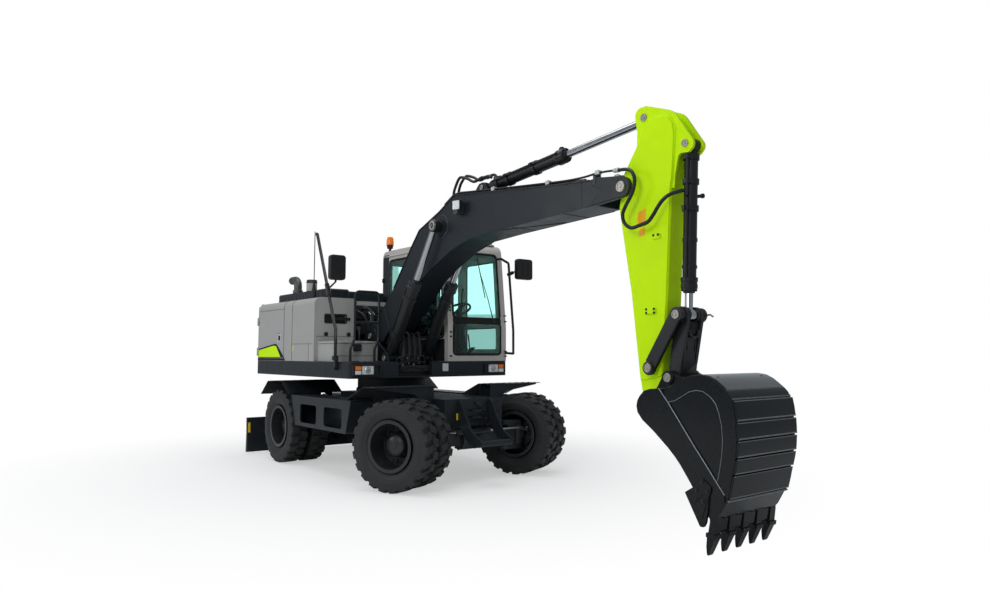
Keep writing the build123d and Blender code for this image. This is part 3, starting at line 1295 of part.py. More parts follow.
# slot in the box's top between the cheeks, where the rod's eye passes as the arm folds
EYE_SLOT = [
    (4700, 3570, 0),
    (4892, 3570, 0),
    (4950, 3598, 0),
    (5045, 3650, 0),
    (5045, 3780, 0),
    (4700, 3780, 0),
]
CHEEK_IN = 58.0
CHEEK_OUT = 86.0
ROCKER_IN = ARM_BOSS + MOVING_GAP
ROCKER_OUT = ROCKER_IN + 29
PIN_HEAD = 55.0
with BuildPart() as arm:
    boom_piece(ARM_CORE, ARM_HALF)
    boom_piece(EYE_SLOT, CHEEK_IN, Mode.SUBTRACT)
    boom_bar(BUCKET_PIN, 78, ARM_BOSS)
    boom_bar(BOOM_TIP, 95, FORK_IN - MOVING_GAP)
    # cheeks that hold the arm's and the bucket's cylinders
    boom_pair(ARM_CHEEK, CHEEK_IN, CHEEK_OUT)
    boom_bar(BOOM_TIP, ARM_PIN, BOOM_HALF + 12)
    boom_bar(BUCKET_CYLINDER_TOP, PIN, CHEEK_OUT + 6)
    # boss, pin and washers that the rocker links turn on
    boom_bar(ROCKER_PIN, 56, ARM_BOSS)
    boom_bar(ROCKER_PIN, PIN, ROCKER_OUT + 15)
    for side in (-1, 1):
        head = (BOOM_Y + side * (ROCKER_OUT + 3), BOOM_Y + side * (ROCKER_OUT + 16))
        bar_y(ROCKER_PIN, PIN_HEAD, head)
    boom_bar(BUCKET_PIN, PIN + BEARING_GAP, ARM_BOSS + 1, Mode.SUBTRACT)
save(arm, "arm")

# ---------------------------------------------------------------- bucket cylinder and links
BUCKET_BARREL = 58.0
BUCKET_ROD = 34.0
LINK_HALF = ARM_BOSS - 25
LINK_EAR_IN = 75.0
with BuildPart() as bucket_cylinder:
    barrel(BUCKET_CYLINDER_TOP, BUCKET_CYLINDER_EYE, BOOM_Y, BUCKET_BARREL, EYE_HALF + 10, 1250, BUCKET_ROD)
save(bucket_cylinder, "bucket_cylinder")

with BuildPart() as bucket_rod:
    piston_rod(BUCKET_CYLINDER_TOP, BUCKET_CYLINDER_EYE, BOOM_Y, 400, ARM_EYE_HALF, BUCKET_ROD, 56)
    boom_bar(BUCKET_CYLINDER_EYE, PIN, LINK_EAR_IN - 5)
save(bucket_rod, "bucket_rod")

with BuildPart() as rocker_links:
    for side in (-1, 1):
        inner = BOOM_Y + side * ROCKER_IN
        outer = BOOM_Y + side * ROCKER_OUT
        bar_y(ROCKER_PIN, 60, (inner, outer))
        bar_y(BUCKET_CYLINDER_EYE, 60, (BOOM_Y + side * (LINK_HALF + MOVING_GAP), outer))
        plate([(4895, 1440, 0), (5185, 1885, 0), (5285, 1835, 0), (4990, 1385, 0)], (inner, outer))
        bar_y(BUCKET_CYLINDER_EYE, PIN, (BOOM_Y + side * (LINK_EAR_IN + 2), outer))
        bar_y(ROCKER_PIN, PIN + BEARING_GAP, (inner, outer), mode=Mode.SUBTRACT)
save(rocker_links, "rocker_links")

with BuildPart() as bucket_link:
    boom_pair(
        [(5180, 1900, 60), (5302, 1930, 60), (5310, 1800, 60), (5240, 1450, 0), (5125, 1450, 0)],
        LINK_EAR_IN,
        LINK_HALF,
    )
    boom_bar(BUCKET_CYLINDER_EYE, 62, LINK_HALF)
    boom_bar(BUCKET_CYLINDER_EYE, 90, LINK_EAR_IN, Mode.SUBTRACT)
    boom_piece([(5158, 1700, 0), (5275, 1700, 0), (5215, 1300, 40), (5095, 1300, 40)], LINK_HALF)
    boom_bar(LINK_PIN, 60, ARM_BOSS - 5)
    boom_bar(LINK_PIN, PIN, ARM_BOSS)
    boom_bar(BUCKET_CYLINDER_EYE, PIN + BEARING_GAP, LINK_HALF + 1, Mode.SUBTRACT)
save(bucket_link, "bucket_link")

# ---------------------------------------------------------------- bucket
BUCKET_BACK = (
    (5246, 1257),
    (5448, 1329),
    (5639, 1382),
    (5806, 1330),
    (5912, 1176),
    (5968, 956),
    (5966, 867),
    (5892, 626),
    (5859, 446),
    (5709, 235),
)
BUCKET_MOUTH = (
    (5557, 511),
    (5447, 661),
    (5357, 766),
    (5252, 851),
    (5037, 1006),
)
BUCKET_SIDE = 22.0
BUCKET_SHELL = 20.0
TOOTH_PITCH = 185.0
TOOTH_AIM = (-0.13, -0.99)  # direction the teeth point in
LUG_IN = ARM_BOSS + 7
LUG_OUT = LUG_IN + 38


def inward(places, distance):
    """Move a run of (x, z) places to the right of its own direction, square to the run."""
    moved = []
    for index, (x, z) in enumerate(places):
        before = places[max(index - 1, 0)]
        after = places[min(index + 1, len(places) - 1)]
        run = Vector(after[0] - before[0], after[1] - before[1]).normalized()
        moved.append((x + run.Y * distance, z - run.X * distance))
    return moved


def tooth_corners(share):
    """Outline of one tooth and its adapter in its own plane, all along the line of the lip."""
    lip = Vector(*BUCKET_BACK[-1])
    run = Vector(*TOOTH_AIM).normalized()
    across = Vector(run.Y, -run.X)
    rows = []
    for distance, side in share:
        spot = lip + run * distance + across * side
        rows.append((spot.X, spot.Y, 0))
    return rows


with BuildPart() as bucket:
    nose = [(5004, 1115, 60), (5041, 1206, 60), (5121, 1243, 60)]
    back = [(x, z, 60) for x, z in BUCKET_BACK[:-1]] + [(*BUCKET_BACK[-1], 0)]
    mouth = [(x, z, 30) for x, z in BUCKET_MOUTH]
    boom_pair(nose + back + mouth, BUCKET_HALF - BUCKET_SIDE, BUCKET_HALF)
    inside = reversed(inward(BUCKET_BACK, BUCKET_SHELL))
    shell = [(x, z, 0) for x, z in BUCKET_BACK] + [(x, z, 0) for x, z in inside]
    boom_piece(shell, BUCKET_HALF)
    # hinge lugs with bosses for the arm's and the link's pins
    boom_pair(
        [
            (4990, 1050, 40),
            (4960, 1120, 40),
            (5085, 1380, 60),
            (5200, 1400, 60),
            (5420, 1335, 0),
            (5260, 1180, 0),
            (5100, 1040, 60),
        ],
        LUG_IN,
        LUG_OUT,
    )
    for side in (-1, 1):
        bar_y(LINK_PIN, 58, (BOOM_Y + side * LUG_IN, BOOM_Y + side * (LUG_OUT + 12)))
    boom_bar(BUCKET_PIN, PIN, LUG_OUT + 12)
    # wear strips across the back
    for low, high in zip(BUCKET_BACK[3:-1], BUCKET_BACK[4:]):
        inner = inward([low, high], 5)
        outer = inward([low, high], -9)
        ends = [along(inner[0], inner[1], 12), along(inner[1], inner[0], 12)]
        ends += [along(outer[1], outer[0], 12), along(outer[0], outer[1], 12)]
        boom_piece([(x, z, 0) for x, z in ends], BUCKET_HALF - 6)
    # lip, teeth and side cutters
    for count in range(5):
        y = BOOM_Y + (count - 2) * TOOTH_PITCH
        plate(tooth_corners(((-90, 12), (-90, -32), (60, -34), (60, 22), (0, 22))), (y - 40, y + 40))
        plate(tooth_corners(((45, -38), (45, 28), (218, -6), (218, -18))), (y - 34, y + 34))
    for side in (-1, 1):
        plate(
            [(5496, 469, 0), (5600, 640, 0), (5665, 599, 0), (5692, 290, 0), (5627, 234, 0)],
            (BOOM_Y + side * (BUCKET_HALF - 1), BOOM_Y + side * (BUCKET_HALF + 22)),
        )
save(bucket, "bucket")

# ---------------------------------------------------------------- pipes along the boom
LINE = 13.0
LINE_RUN = ((1330, 3140), (1700, 3285), (2040, 3445), (4150, 3213))
with BuildPart() as boom_lines:
    for y in (BOOM_Y - 110, BOOM_Y + 110):
        for start, end in zip(LINE_RUN[:-1], LINE_RUN[1:]):
            rod_between(at_y(start, y), at_y(end, y), LINE)
        for x in (2300, 3000, 3600):
            rise = (BOOM_UPPER[4][1] - BOOM_UPPER[3][1]) / (BOOM_UPPER[4][0] - BOOM_UPPER[3][0])
            low = BOOM_UPPER[4][1] + (x - BOOM_UPPER[4][0]) * rise + JOIN_GAP
            plate(
                [
                    (x - 20, low - 20 * rise, 0),
                    (x + 20, low + 20 * rise, 0),
                    (x + 20, low + 34, 0),
                    (x - 20, low + 34, 0),
                ],
                (y - 20, y + 20),
            )
    # work lamp on the right of the boom
    lamp_y = (BOOM_Y - BOOM_HALF - 100, BOOM_Y - BOOM_HALF - JOIN_GAP)
    block((2160, 2240), lamp_y, (3150, 3290))
save(boom_lines, "boom_lines")
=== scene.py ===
import json
import math

import bmesh
import bpy
import numpy as np
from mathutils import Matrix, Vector


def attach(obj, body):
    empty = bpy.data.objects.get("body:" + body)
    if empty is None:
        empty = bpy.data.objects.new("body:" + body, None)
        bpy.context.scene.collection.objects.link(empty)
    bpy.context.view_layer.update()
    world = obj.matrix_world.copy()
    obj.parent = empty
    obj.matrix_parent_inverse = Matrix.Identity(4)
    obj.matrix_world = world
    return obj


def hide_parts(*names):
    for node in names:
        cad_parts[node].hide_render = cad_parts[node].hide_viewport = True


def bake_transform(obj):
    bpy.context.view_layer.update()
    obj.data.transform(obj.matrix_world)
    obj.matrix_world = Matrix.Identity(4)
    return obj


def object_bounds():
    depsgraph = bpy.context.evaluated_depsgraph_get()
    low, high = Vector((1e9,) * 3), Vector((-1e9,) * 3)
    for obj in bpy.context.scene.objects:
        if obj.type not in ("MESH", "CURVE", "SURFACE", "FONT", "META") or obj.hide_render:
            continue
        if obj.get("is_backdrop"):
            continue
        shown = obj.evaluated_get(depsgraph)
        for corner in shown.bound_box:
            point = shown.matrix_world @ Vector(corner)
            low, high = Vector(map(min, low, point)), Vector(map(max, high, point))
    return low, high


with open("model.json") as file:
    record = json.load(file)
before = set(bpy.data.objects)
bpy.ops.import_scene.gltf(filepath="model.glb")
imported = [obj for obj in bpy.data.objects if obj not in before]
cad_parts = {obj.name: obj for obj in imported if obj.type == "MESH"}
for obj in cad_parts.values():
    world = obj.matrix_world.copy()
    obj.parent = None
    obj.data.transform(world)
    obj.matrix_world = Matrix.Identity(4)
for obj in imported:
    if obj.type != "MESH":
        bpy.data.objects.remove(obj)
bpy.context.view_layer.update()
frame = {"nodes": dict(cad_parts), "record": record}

# ---- Camera, lamps and floor -------------------------------------------------
# The machine stands on a pale studio floor that fades to white, under a broad soft top light,
# with a weaker light from the front and one from the driver's side.
CAMERA_AT = (9.119, -5.376, 1.542)
CAMERA_YAW = math.radians(38.413)
CAMERA_PITCH = math.radians(4.484)

camera = bpy.data.objects.new("camera", bpy.data.cameras.new("camera"))
camera.data.lens = 26.79
camera.data.sensor_width = 36.0
camera.location = CAMERA_AT
aim = Vector((
    -math.cos(CAMERA_YAW) * math.cos(CAMERA_PITCH),
    math.sin(CAMERA_YAW) * math.cos(CAMERA_PITCH),
    math.sin(CAMERA_PITCH),
))
camera.rotation_euler = aim.to_track_quat("-Z", "Y").to_euler()
bpy.context.collection.objects.link(camera)
bpy.context.scene.camera = camera
bpy.context.scene.view_settings.view_transform = "Standard"

# name, place, point it looks at, size, watts
LAMPS = (
    ("top_lamp", (1.0, -1.0, 9.0), (1.0, -0.2, 1.0), 7.0, 365.0),
    ("front_lamp", (7.0, -10.0, 6.5), (1.5, -0.2, 1.3), 3.5, 285.0),
    ("side_lamp", (-3.0, -9.0, 4.5), (-0.5, -0.5, 1.3), 4.0, 150.0),
    ("rear_lamp", (-7.0, 7.0, 5.0), (0.0, 0.0, 1.5), 5.0, 100.0),
)
for name, place, target, size, watts in LAMPS:
    lamp = bpy.data.lights.new(name, "AREA")
    lamp.size = size
    lamp.energy = watts
    holder = bpy.data.objects.new(name, lamp)
    holder.location = place
    holder.rotation_euler = (Vector(target) - Vector(place)).to_track_quat("-Z", "Y").to_euler()
    bpy.context.collection.objects.link(holder)


def filled(node, values):
    """A shader node with its inputs' values set by name."""
    for key, value in values.items():
        node.inputs[key].default_value = value
    return node


def added(tree, kind, values={}, operation=None):
    """A new shader node of that kind, with its inputs' values by name and its operation."""
    node = tree.nodes.new("ShaderNode" + kind)
    if operation:
        node.operation = operation
    return filled(node, values)


def linked(tree, *pairs):
    """Outputs joined to inputs, given as (output, input) pairs."""
    for source, target in pairs:
        tree.links.new(source, target)


def new_material(name, values):
    """A material, its node tree and its main shader, whose inputs' values are given by name."""
    material = bpy.data.materials.new(name)
    material.use_nodes = True
    tree = material.node_tree
    return material, tree, filled(tree.nodes["Principled BSDF"], values)


world = bpy.data.worlds.new("studio")
world.use_nodes = True
bpy.context.scene.world = world
sky = world.node_tree
sky.nodes.clear()
out = added(sky, "OutputWorld")
seen = added(sky, "Background", {"Color": (1.0, 1.0, 1.0, 1.0)})
fill = added(sky, "Background", {"Color": (0.86, 0.94, 1.0, 1.0), "Strength": 0.38})
ray = added(sky, "LightPath")
either = added(sky, "Math", operation="MAXIMUM")
pick = added(sky, "MixShader")
linked(
    sky,
    (ray.outputs["Is Camera Ray"], either.inputs[0]),
    (ray.outputs["Is Transmission Ray"], either.inputs[1]),
    (either.outputs[0], pick.inputs["Fac"]),
    (fill.outputs[0], pick.inputs[1]),
    (seen.outputs[0], pick.inputs[2]),
    (pick.outputs[0], out.inputs["Surface"]),
)


def floor_material():
    """Pale floor that keeps shadows near the machine and turns to plain white with distance from it."""
    plain = {"Base Color": (0.86, 0.86, 0.86, 1.0), "Roughness": 0.9, "Specular IOR Level": 0.0}
    material, tree, shader = new_material("floor", plain)
    place = added(tree, "TexCoord")
    length = added(tree, "VectorMath", operation="LENGTH")
    fade = added(tree, "MapRange", {"From Min": 1.5, "From Max": 6.0, "To Min": 0.45})
    fade.interpolation_type = "SMOOTHSTEP"
    rays = added(tree, "LightPath")
    both = added(tree, "Math", operation="MULTIPLY")
    white = added(tree, "Emission")
    mix = added(tree, "MixShader")
    linked(
        tree,
        (place.outputs["Object"], length.inputs[0]),
        (length.outputs["Value"], fade.inputs["Value"]),
        (fade.outputs["Result"], both.inputs[0]),
        (rays.outputs["Is Camera Ray"], both.inputs[1]),
        (both.outputs[0], mix.inputs["Fac"]),
        (shader.outputs[0], mix.inputs[1]),
        (white.outputs[0], mix.inputs[2]),
        (mix.outputs[0], tree.nodes["Material Output"].inputs["Surface"]),
    )
    return material


floor_mesh = bpy.data.meshes.new("floor")
FAR_OUT = 60
floor_corners = [(-FAR_OUT, -FAR_OUT, 0), (FAR_OUT, -FAR_OUT, 0), (FAR_OUT, FAR_OUT, 0),
    (-FAR_OUT, FAR_OUT, 0)]
floor_mesh.from_pydata(floor_corners, [], [(0, 1, 2, 3)])
floor_mesh.materials.append(floor_material())
floor = bpy.data.objects.new("floor", floor_mesh)
bpy.context.collection.objects.link(floor)
floor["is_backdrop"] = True

# ---- Chassis frame -----------------------------------------------------------
# The welded frame, fenders, steps and axles are steel plate and castings in charcoal paint with
# rounded plate edges; the first section also holds the finishes and the shapes used all over.
BODY_OF = {node: body for body, nodes in frame["record"]["behaviour"]["bodies"].items() for node in nodes}
SLOT_OF = {row["node"]: row["material_slot"] for row in frame["record"]["subparts"]}
DUST_COLOUR = (0.2, 0.18, 0.155, 1.0)
DUST_TOP, DUST_FULL = 1.3, 0.2
SIDES = (-1, 1)
AHEAD, LEFT, UP = (1, 0, 0), (0, 1, 0), (0, 0, 1)


def finish(name, colour, rough=0.45, metal=0.0, mottle=0.05, grain=6.0, bump=0.0, coat=0.0, dust=0.0,
        shine=0.3):
    """A paint or bare finish: its colour times one plus a little soft noise, its roughness likewise,
    and dust that lightens what lies low on the machine, all from the object's own coordinates."""
    look = {"Metallic": metal, "Specular IOR Level": shine, "Coat Weight": coat, "Coat Roughness": 0.12}
    material, tree, shader = new_material(name, look)
    spread = {"From Min": 0.3, "From Max": 0.7}
    place = added(tree, "TexCoord")
    noise = added(tree, "TexNoise", {"Scale": grain, "Detail": 5.0})
    shade = added(tree, "MapRange", {**spread, "To Min": 1.0 - mottle, "To Max": 1.0 + mottle})
    tint = added(tree, "VectorMath", {0: colour}, "SCALE")
    linked(
        tree,
        (place.outputs["Object"], noise.inputs["Vector"]),
        (noise.outputs["Fac"], shade.inputs["Value"]),
        (shade.outputs["Result"], tint.inputs["Scale"]),
    )
    base = tint.outputs["Vector"]
    if dust:
        split = added(tree, "SeparateXYZ")
        low = added(tree, "MapRange", {"From Min": DUST_TOP, "From Max": DUST_FULL, "To Max": dust})
        share = added(tree, "Math", operation="MULTIPLY")
        mix = added(tree, "Mix")
        mix.data_type = "RGBA"
        mix.inputs["B"].default_value = DUST_COLOUR
        linked(
            tree,
            (place.outputs["Object"], split.inputs[0]),
            (split.outputs["Z"], low.inputs["Value"]),
            (low.outputs["Result"], share.inputs[0]),
            (noise.outputs["Fac"], share.inputs[1]),
            (share.outputs[0], mix.inputs["Factor"]),
            (base, mix.inputs["A"]),
        )
        base = mix.outputs["Result"]
    gloss = added(tree, "MapRange", {**spread, "To Min": max(0.02, rough - 0.05), "To Max": rough + 0.06})
    linked(
        tree,
        (base, shader.inputs["Base Color"]),
        (noise.outputs["Fac"], gloss.inputs["Value"]),
        (gloss.outputs["Result"], shader.inputs["Roughness"]),
    )
    if bump:
        fine = added(tree, "TexNoise", {"Scale": 160.0})
        relief = added(tree, "Bump", {"Strength": bump, "Distance": 0.002})
        linked(
            tree,
            (place.outputs["Object"], fine.inputs["Vector"]),
            (fine.outputs["Fac"], relief.inputs["Height"]),
            (relief.outputs["Normal"], shader.inputs["Normal"]),
        )
    return material


charcoal = finish("charcoal_paint", (0.0145, 0.018, 0.0225), 0.38, coat=0.06, dust=0.02, shine=0.2)
black_paint = finish("black_paint", (0.012, 0.013, 0.015), 0.36, coat=0.08, dust=0.02)
casting = finish("painted_casting", (0.022, 0.024, 0.027), 0.55, mottle=0.12, bump=0.35, dust=0.06)
bare_steel = finish("bare_steel", (0.42, 0.42, 0.43), 0.33, metal=1.0, mottle=0.08, grain=30.0)
yellow_label = finish("yellow_label", (0.85, 0.58, 0.02), 0.5, mottle=0.02)


def smooth_shaded(mesh, angle=32.0):
    """Smooth shading that breaks at edges sharper than the angle in degrees."""
    mesh.shade_smooth()
    mesh.set_sharp_from_angle(angle=math.radians(angle))


def rounded(piece, width, segments=2):
    """Round a piece's edges with a live bevel of that width in metres."""
    bevel = piece.modifiers.new("rounded_edges", "BEVEL")
    bevel.width = width
    bevel.segments = segments
    bevel.limit_method = "ANGLE"
    bevel.angle_limit = math.radians(40)
    bevel.use_clamp_overlap = True
    bevel.harden_normals = True
    return piece


def skin(node, material, width, segments=2):
    """The made piece itself, its corners merged and its flat faces joined, with rounded edges."""
    mesh = frame["nodes"][node].data.copy()
    mesh.name = node + "_skin"
    work = bmesh.new()
    work.from_mesh(mesh)
    bmesh.ops.remove_doubles(work, verts=work.verts, dist=2e-5)
    bmesh.ops.dissolve_limit(work, angle_limit=math.radians(0.6), verts=work.verts, edges=work.edges)
    work.to_mesh(mesh)
    work.free()
    mesh.materials.clear()
    mesh.materials.append(material)
    smooth_shaded(mesh)
    piece = bpy.data.objects.new(node + "_skin", mesh)
    bpy.context.collection.objects.link(piece)
    if width:
        rounded(piece, width, segments)
    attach(piece, BODY_OF[node])
    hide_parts(node)
    return piece


def joined(shapes):
    """Several (points, faces) shapes as one."""
    points, faces, start = [], [], 0
    for shape_points, shape_faces in shapes:
        points.append(np.asarray(shape_points, float))
        faces += [tuple(int(i) + start for i in face) for face in shape_faces]
        start += len(shape_points)
    return np.concatenate(points), faces


def piece(name, shapes, material, body, slot, width=0.0, segments=2, angle=32.0):
    """A new piece from shapes, in place, on its body; where body is a tuple of two bodies and the points
    where the bending would start and end, it is only fixed in place and rides on neither."""
    points, faces = joined(shapes if isinstance(shapes, list) else [shapes])
    mesh = bpy.data.meshes.new(name)
    mesh.from_pydata(points.tolist(), [], faces)
    mesh.materials.append(material)
    smooth_shaded(mesh, angle)
    made = bpy.data.objects.new(name, mesh)
    bpy.context.collection.objects.link(made)
    if width:
        rounded(made, width, segments)
    if isinstance(body, tuple):
        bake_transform(made)
    else:
        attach(made, body)
    return made


def grid_faces(rows, columns, wrap_rows=False, wrap_columns=False):
    """Quads between neighbours of a grid of points stored row by row."""
    i = np.arange(rows if wrap_rows else rows - 1)
    j = np.arange(columns if wrap_columns else columns - 1)
    i, j = np.meshgrid(i, j, indexing="ij")
    a, b = i * columns + j, i * columns + (j + 1) % columns
    c, d = ((i + 1) % rows) * columns + (j + 1) % columns, ((i + 1) % rows) * columns + j
    return np.stack([a, b, c, d], -1).reshape(-1, 4).tolist()


def square_to(axis):
    """An axis as a unit vector, and the two unit vectors square to it that its shapes are laid out on."""
    axis = np.asarray(axis, float) / np.linalg.norm(axis)
    across = np.cross(axis, UP)
    if np.linalg.norm(across) < 0.1:
        across = np.cross(axis, LEFT)
    across /= np.linalg.norm(across)
    return axis, across, np.cross(axis, across)


def frame_along(path):
    """Directions, and two normals carried along a path by always taking out the part along it."""
    run = np.gradient(path, axis=0)
    run /= np.linalg.norm(run, axis=1)[:, None]
    across = np.empty_like(run)
    across[0] = square_to(run[0])[1]
    for k in range(1, len(run)):
        carried = across[k - 1] - run[k] * (across[k - 1] @ run[k])
        across[k] = carried / np.linalg.norm(carried)
    return run, across, np.cross(run, across)


def curve_through(corners, steps=10):
    """A smooth path through points: each span a cubic, its end slopes half the way between neighbours."""
    p = np.asarray(corners, float)
    slope = np.gradient(p, axis=0)
    t = np.linspace(0, 1, steps, endpoint=False)[:, None]
    spans = []
    for k in range(len(p) - 1):
        a, b, ma, mb = p[k], p[k + 1], slope[k], slope[k + 1]
        spans.append(
            (2 * t**3 - 3 * t**2 + 1) * a + (t**3 - 2 * t**2 + t) * ma + (3 * t**2 - 2 * t**3) * b
                + (t**3 - t**2) * mb
        )
    return np.concatenate(spans + [p[-1:]])


def tube(path, radius, sides=12):
    """A round section along a path: path point plus radius times the turning normal, with flat ends."""
    path = np.asarray(path, float)
    run, across, up = frame_along(path)
    radius = np.broadcast_to(np.asarray(radius, float), (len(path),))
    turn = np.linspace(0, 2 * np.pi, sides, endpoint=False)
    ring = np.cos(turn)[None, :, None] * across[:, None] + np.sin(turn)[None, :, None] * up[:, None]
    points = path[:, None] + radius[:, None, None] * ring
    faces = grid_faces(len(path), sides, wrap_columns=True)
    last = (len(path) - 1) * sides
    faces += [tuple(range(sides))[::-1], tuple(range(last, last + sides))]
    return points.reshape(-1, 3), faces


def hose(corners, steps, radius, sides):
    """A tube of that radius, or of a radius for each step, along the smooth path through the corners."""
    return tube(curve_through(corners, steps), radius, sides)


def turned(rows, origin, axis, sides=32, hollow=False):
    """A turned shape: (distance along the axis, radius) rows carried round the axis; a zero radius closes it,
    and a hollow shape's last row joins its first instead."""
    axis, across, up = square_to(axis)
    rows = np.asarray(rows, float)
    turn = np.linspace(0, 2 * np.pi, sides, endpoint=False)
    ring = np.cos(turn)[:, None] * across + np.sin(turn)[:, None] * up
    points = np.asarray(origin, float) + rows[:, None, :1] * axis + np.maximum(rows[:, None, 1:],
        1e-5) * ring[None]
    faces = grid_faces(len(rows), sides, wrap_rows=hollow, wrap_columns=True)
    last = (len(rows) - 1) * sides
    if not hollow:
        faces += [tuple(range(sides))[::-1], tuple(range(last, last + sides))]
    return points.reshape(-1, 3), faces


def cuboid(x, y, z):
    """The eight corners and six faces of a box between two values on each axis."""
    corners = np.array([(a, b, c) for a in sorted(x) for b in sorted(y) for c in sorted(z)])
    return corners, [(0, 1, 3, 2), (4, 6, 7, 5), (0, 4, 5, 1), (2, 3, 7, 6), (0, 2, 6, 4), (1, 5, 7, 3)]


def eased(corners, radius, steps=5):
    """A closed outline whose corners give way to quadratic curves that start and end a radius from each."""
    p = np.asarray(corners, float)
    before, after = np.roll(p, 1, 0) - p, np.roll(p, -1, 0) - p
    room, space = np.linalg.norm(before, axis=1), np.linalg.norm(after, axis=1)
    radius = np.minimum(radius, 0.48 * np.minimum(room, space))
    a = p + before * (radius / room)[:, None]
    b = p + after * (radius / space)[:, None]
    t = np.linspace(0, 1, steps + 1)[None, :, None]
    return ((1 - t) ** 2 * a[:, None] + 2 * t * (1 - t) * p[:, None] + t**2 * b[:, None]).reshape(-1, 2)


def backwards(outline, axis):
    """Whether an outline's area, half the sum of its neighbours' cross products, has the wrong sign."""
    area = np.sum(outline[:, 0] * np.roll(outline[:, 1], -1) - np.roll(outline[:, 0], -1) * outline[:, 1])
    return (area < 0) != (axis == "y")


def rect(x, z, radius):
    """A closed rectangle between two values across and two values up, its corners eased by the radius."""
    return eased([(x[0], z[0]), (x[1], z[0]), (x[1], z[1]), (x[0], z[1])], radius)


def extruded(outline, axis, ends):
    """A closed outline in the two other axes, carried between two values on the axis x, y or z."""
    outline = np.asarray(outline, float)
    if backwards(outline, axis):
        outline = outline[::-1]
    count = len(outline)
    place = "xyz".index(axis)
    low, high = (np.insert(outline, place, value, axis=1) for value in (min(ends), max(ends)))
    k = np.arange(count)
    sides = np.stack([k, (k + 1) % count, (k + 1) % count + count, k + count], -1).tolist()
    return np.concatenate([low, high]), [tuple(range(count))[::-1], tuple(range(count, 2 * count))] + sides


def bolts(places, axis, radius=0.011, height=0.008):
    """A hexagon-headed bolt on a washer at each place, standing along the axis."""
    rows = ((-0.001, radius * 1.5), (height * 0.25, radius * 1.5), (height * 0.3, radius),
        (height, radius * 0.92))
    return [turned(rows, place, axis, 6) for place in places]


def circle_of(centre, axis, radius, count, start=0.0):
    """Places spaced evenly round a circle."""
    axis, across, up = square_to(axis)
    turn = start + np.arange(count) * 2 * np.pi / count
    return np.asarray(centre) + radius * (np.cos(turn)[:, None] * across + np.sin(turn)[:, None] * up)


def studs(corner, along, across, size, pitch=0.055, lozenge=(0.02, 0.006), height=0.003):
    """Raised lozenges on a flat plate: rows a pitch apart from a corner, each turned 45 degrees the other way
    from its neighbours; a lozenge is a small diamond that narrows upwards."""
    along, across = (np.asarray(v, float) / np.linalg.norm(v) for v in (along, across))
    up = np.cross(along, across)
    up *= np.sign(up[2])
    i, j = np.meshgrid(np.arange(pitch / 2, size[0], pitch), np.arange(pitch / 2, size[1], pitch),
        indexing="ij")
    turned_way = np.where((np.arange(i.shape[0])[:, None] + np.arange(i.shape[1])[None]) % 2, 1.0,
        -1.0).reshape(-1, 1)
    middle = np.asarray(corner) + i.reshape(-1, 1) * along + j.reshape(-1, 1) * across
    long_way = (along + turned_way * across) / math.sqrt(2)
    short_way = np.cross(up, long_way)
    ring = [long_way * lozenge[0], short_way * lozenge[1], -long_way * lozenge[0], -short_way * lozenge[1]]
    low = np.stack([middle + r - up * 0.001 for r in ring], 1)
    high = np.stack([middle + r * 0.6 + up * height for r in ring], 1)
    points = np.concatenate([low, high], 1).reshape(-1, 3)
    one = np.array([(3, 2, 1, 0), (4, 5, 6, 7), (0, 1, 5, 4), (1, 2, 6, 5), (2, 3, 7, 6), (3, 0, 4, 7)])
    faces = (one[None] + 8 * np.arange(len(middle))[:, None, None]).reshape(-1, 4)
    return points, faces.tolist()


for node, material, width in (
    ("chassis_frame", charcoal, 0.006),
    ("slew_ring", casting, 0.006),
    ("front_fenders", charcoal, 0.002),
    ("rear_fenders", charcoal, 0.002),
    ("side_steps", charcoal, 0.004),
    ("front_step", charcoal, 0.003),
    ("front_axle", casting, 0.01),
    ("rear_axle", casting, 0.01),
    ("driveline", casting, 0.008),
    ("steering_cylinder", black_paint, 0.004),
    ("steering_rod", bare_steel, 0.002),
    ("knuckle_right", casting, 0.006),
    ("knuckle_left", casting, 0.006),
    ("blade", charcoal, 0.003),
    ("blade_cylinders", black_paint, 0.003),
    ("blade_rods", bare_steel, 0.002),
):
    skin(node, material, width)

# bolts round the slew ring's foot and the differentials, plugs, hook and label on the frame's face plate
FACE_X = 1.933
FRONT_AXLE, REAR_AXLE = 1.785, -1.05
HOUSING_Z = 0.495
ring_bolts = bolts(circle_of((0, 0, 1.042), UP, 0.489, 44), UP, 0.0075, 0.016)
piece("slew_ring_bolts", ring_bolts, casting, "chassis", "paint_charcoal")
housing = []
for axle_x in (FRONT_AXLE, REAR_AXLE):
    for side in SIDES:
        middle = (axle_x, side * 0.1251, HOUSING_Z)
        housing += bolts(circle_of(middle, (0, side, 0), 0.115, 12), (0, side, 0), 0.009, 0.012)
        housing.append(turned(((-0.002, 0.095), (0.012, 0.09), (0.016, 0.078)), middle, (0, side, 0), 36))
    housing.append(turned(((-0.001, 0.02), (0.012, 0.018)), (axle_x + 0.1295, 0.05, HOUSING_Z), AHEAD, 6))
piece("axle_bolts", housing, casting, "chassis", "cast_iron")
plug = ((-0.002, 0.024), (0.01, 0.024), (0.014, 0.019), (0.014, 0.0))
face = [turned(plug, (FACE_X, y, z), AHEAD, 20) for y, z in ((-0.175, 0.895), (0.16, 0.86), (0.19, 0.74))]
face += bolts([(FACE_X, y, z) for y in (-0.38, 0.38) for z in (0.72, 0.83, 0.94)], AHEAD, 0.012, 0.012)
hook = curve_through([(FACE_X, 0.015, 0.945), (FACE_X + 0.035, 0.02, 0.94), (FACE_X + 0.04, 0.06, 0.905),
    (FACE_X + 0.03, 0.075, 0.87), (FACE_X, 0.07, 0.855)], 6)
face.append(tube(hook, 0.012, 10))
piece("face_plate_trim", face, black_paint, "chassis", "paint_black")
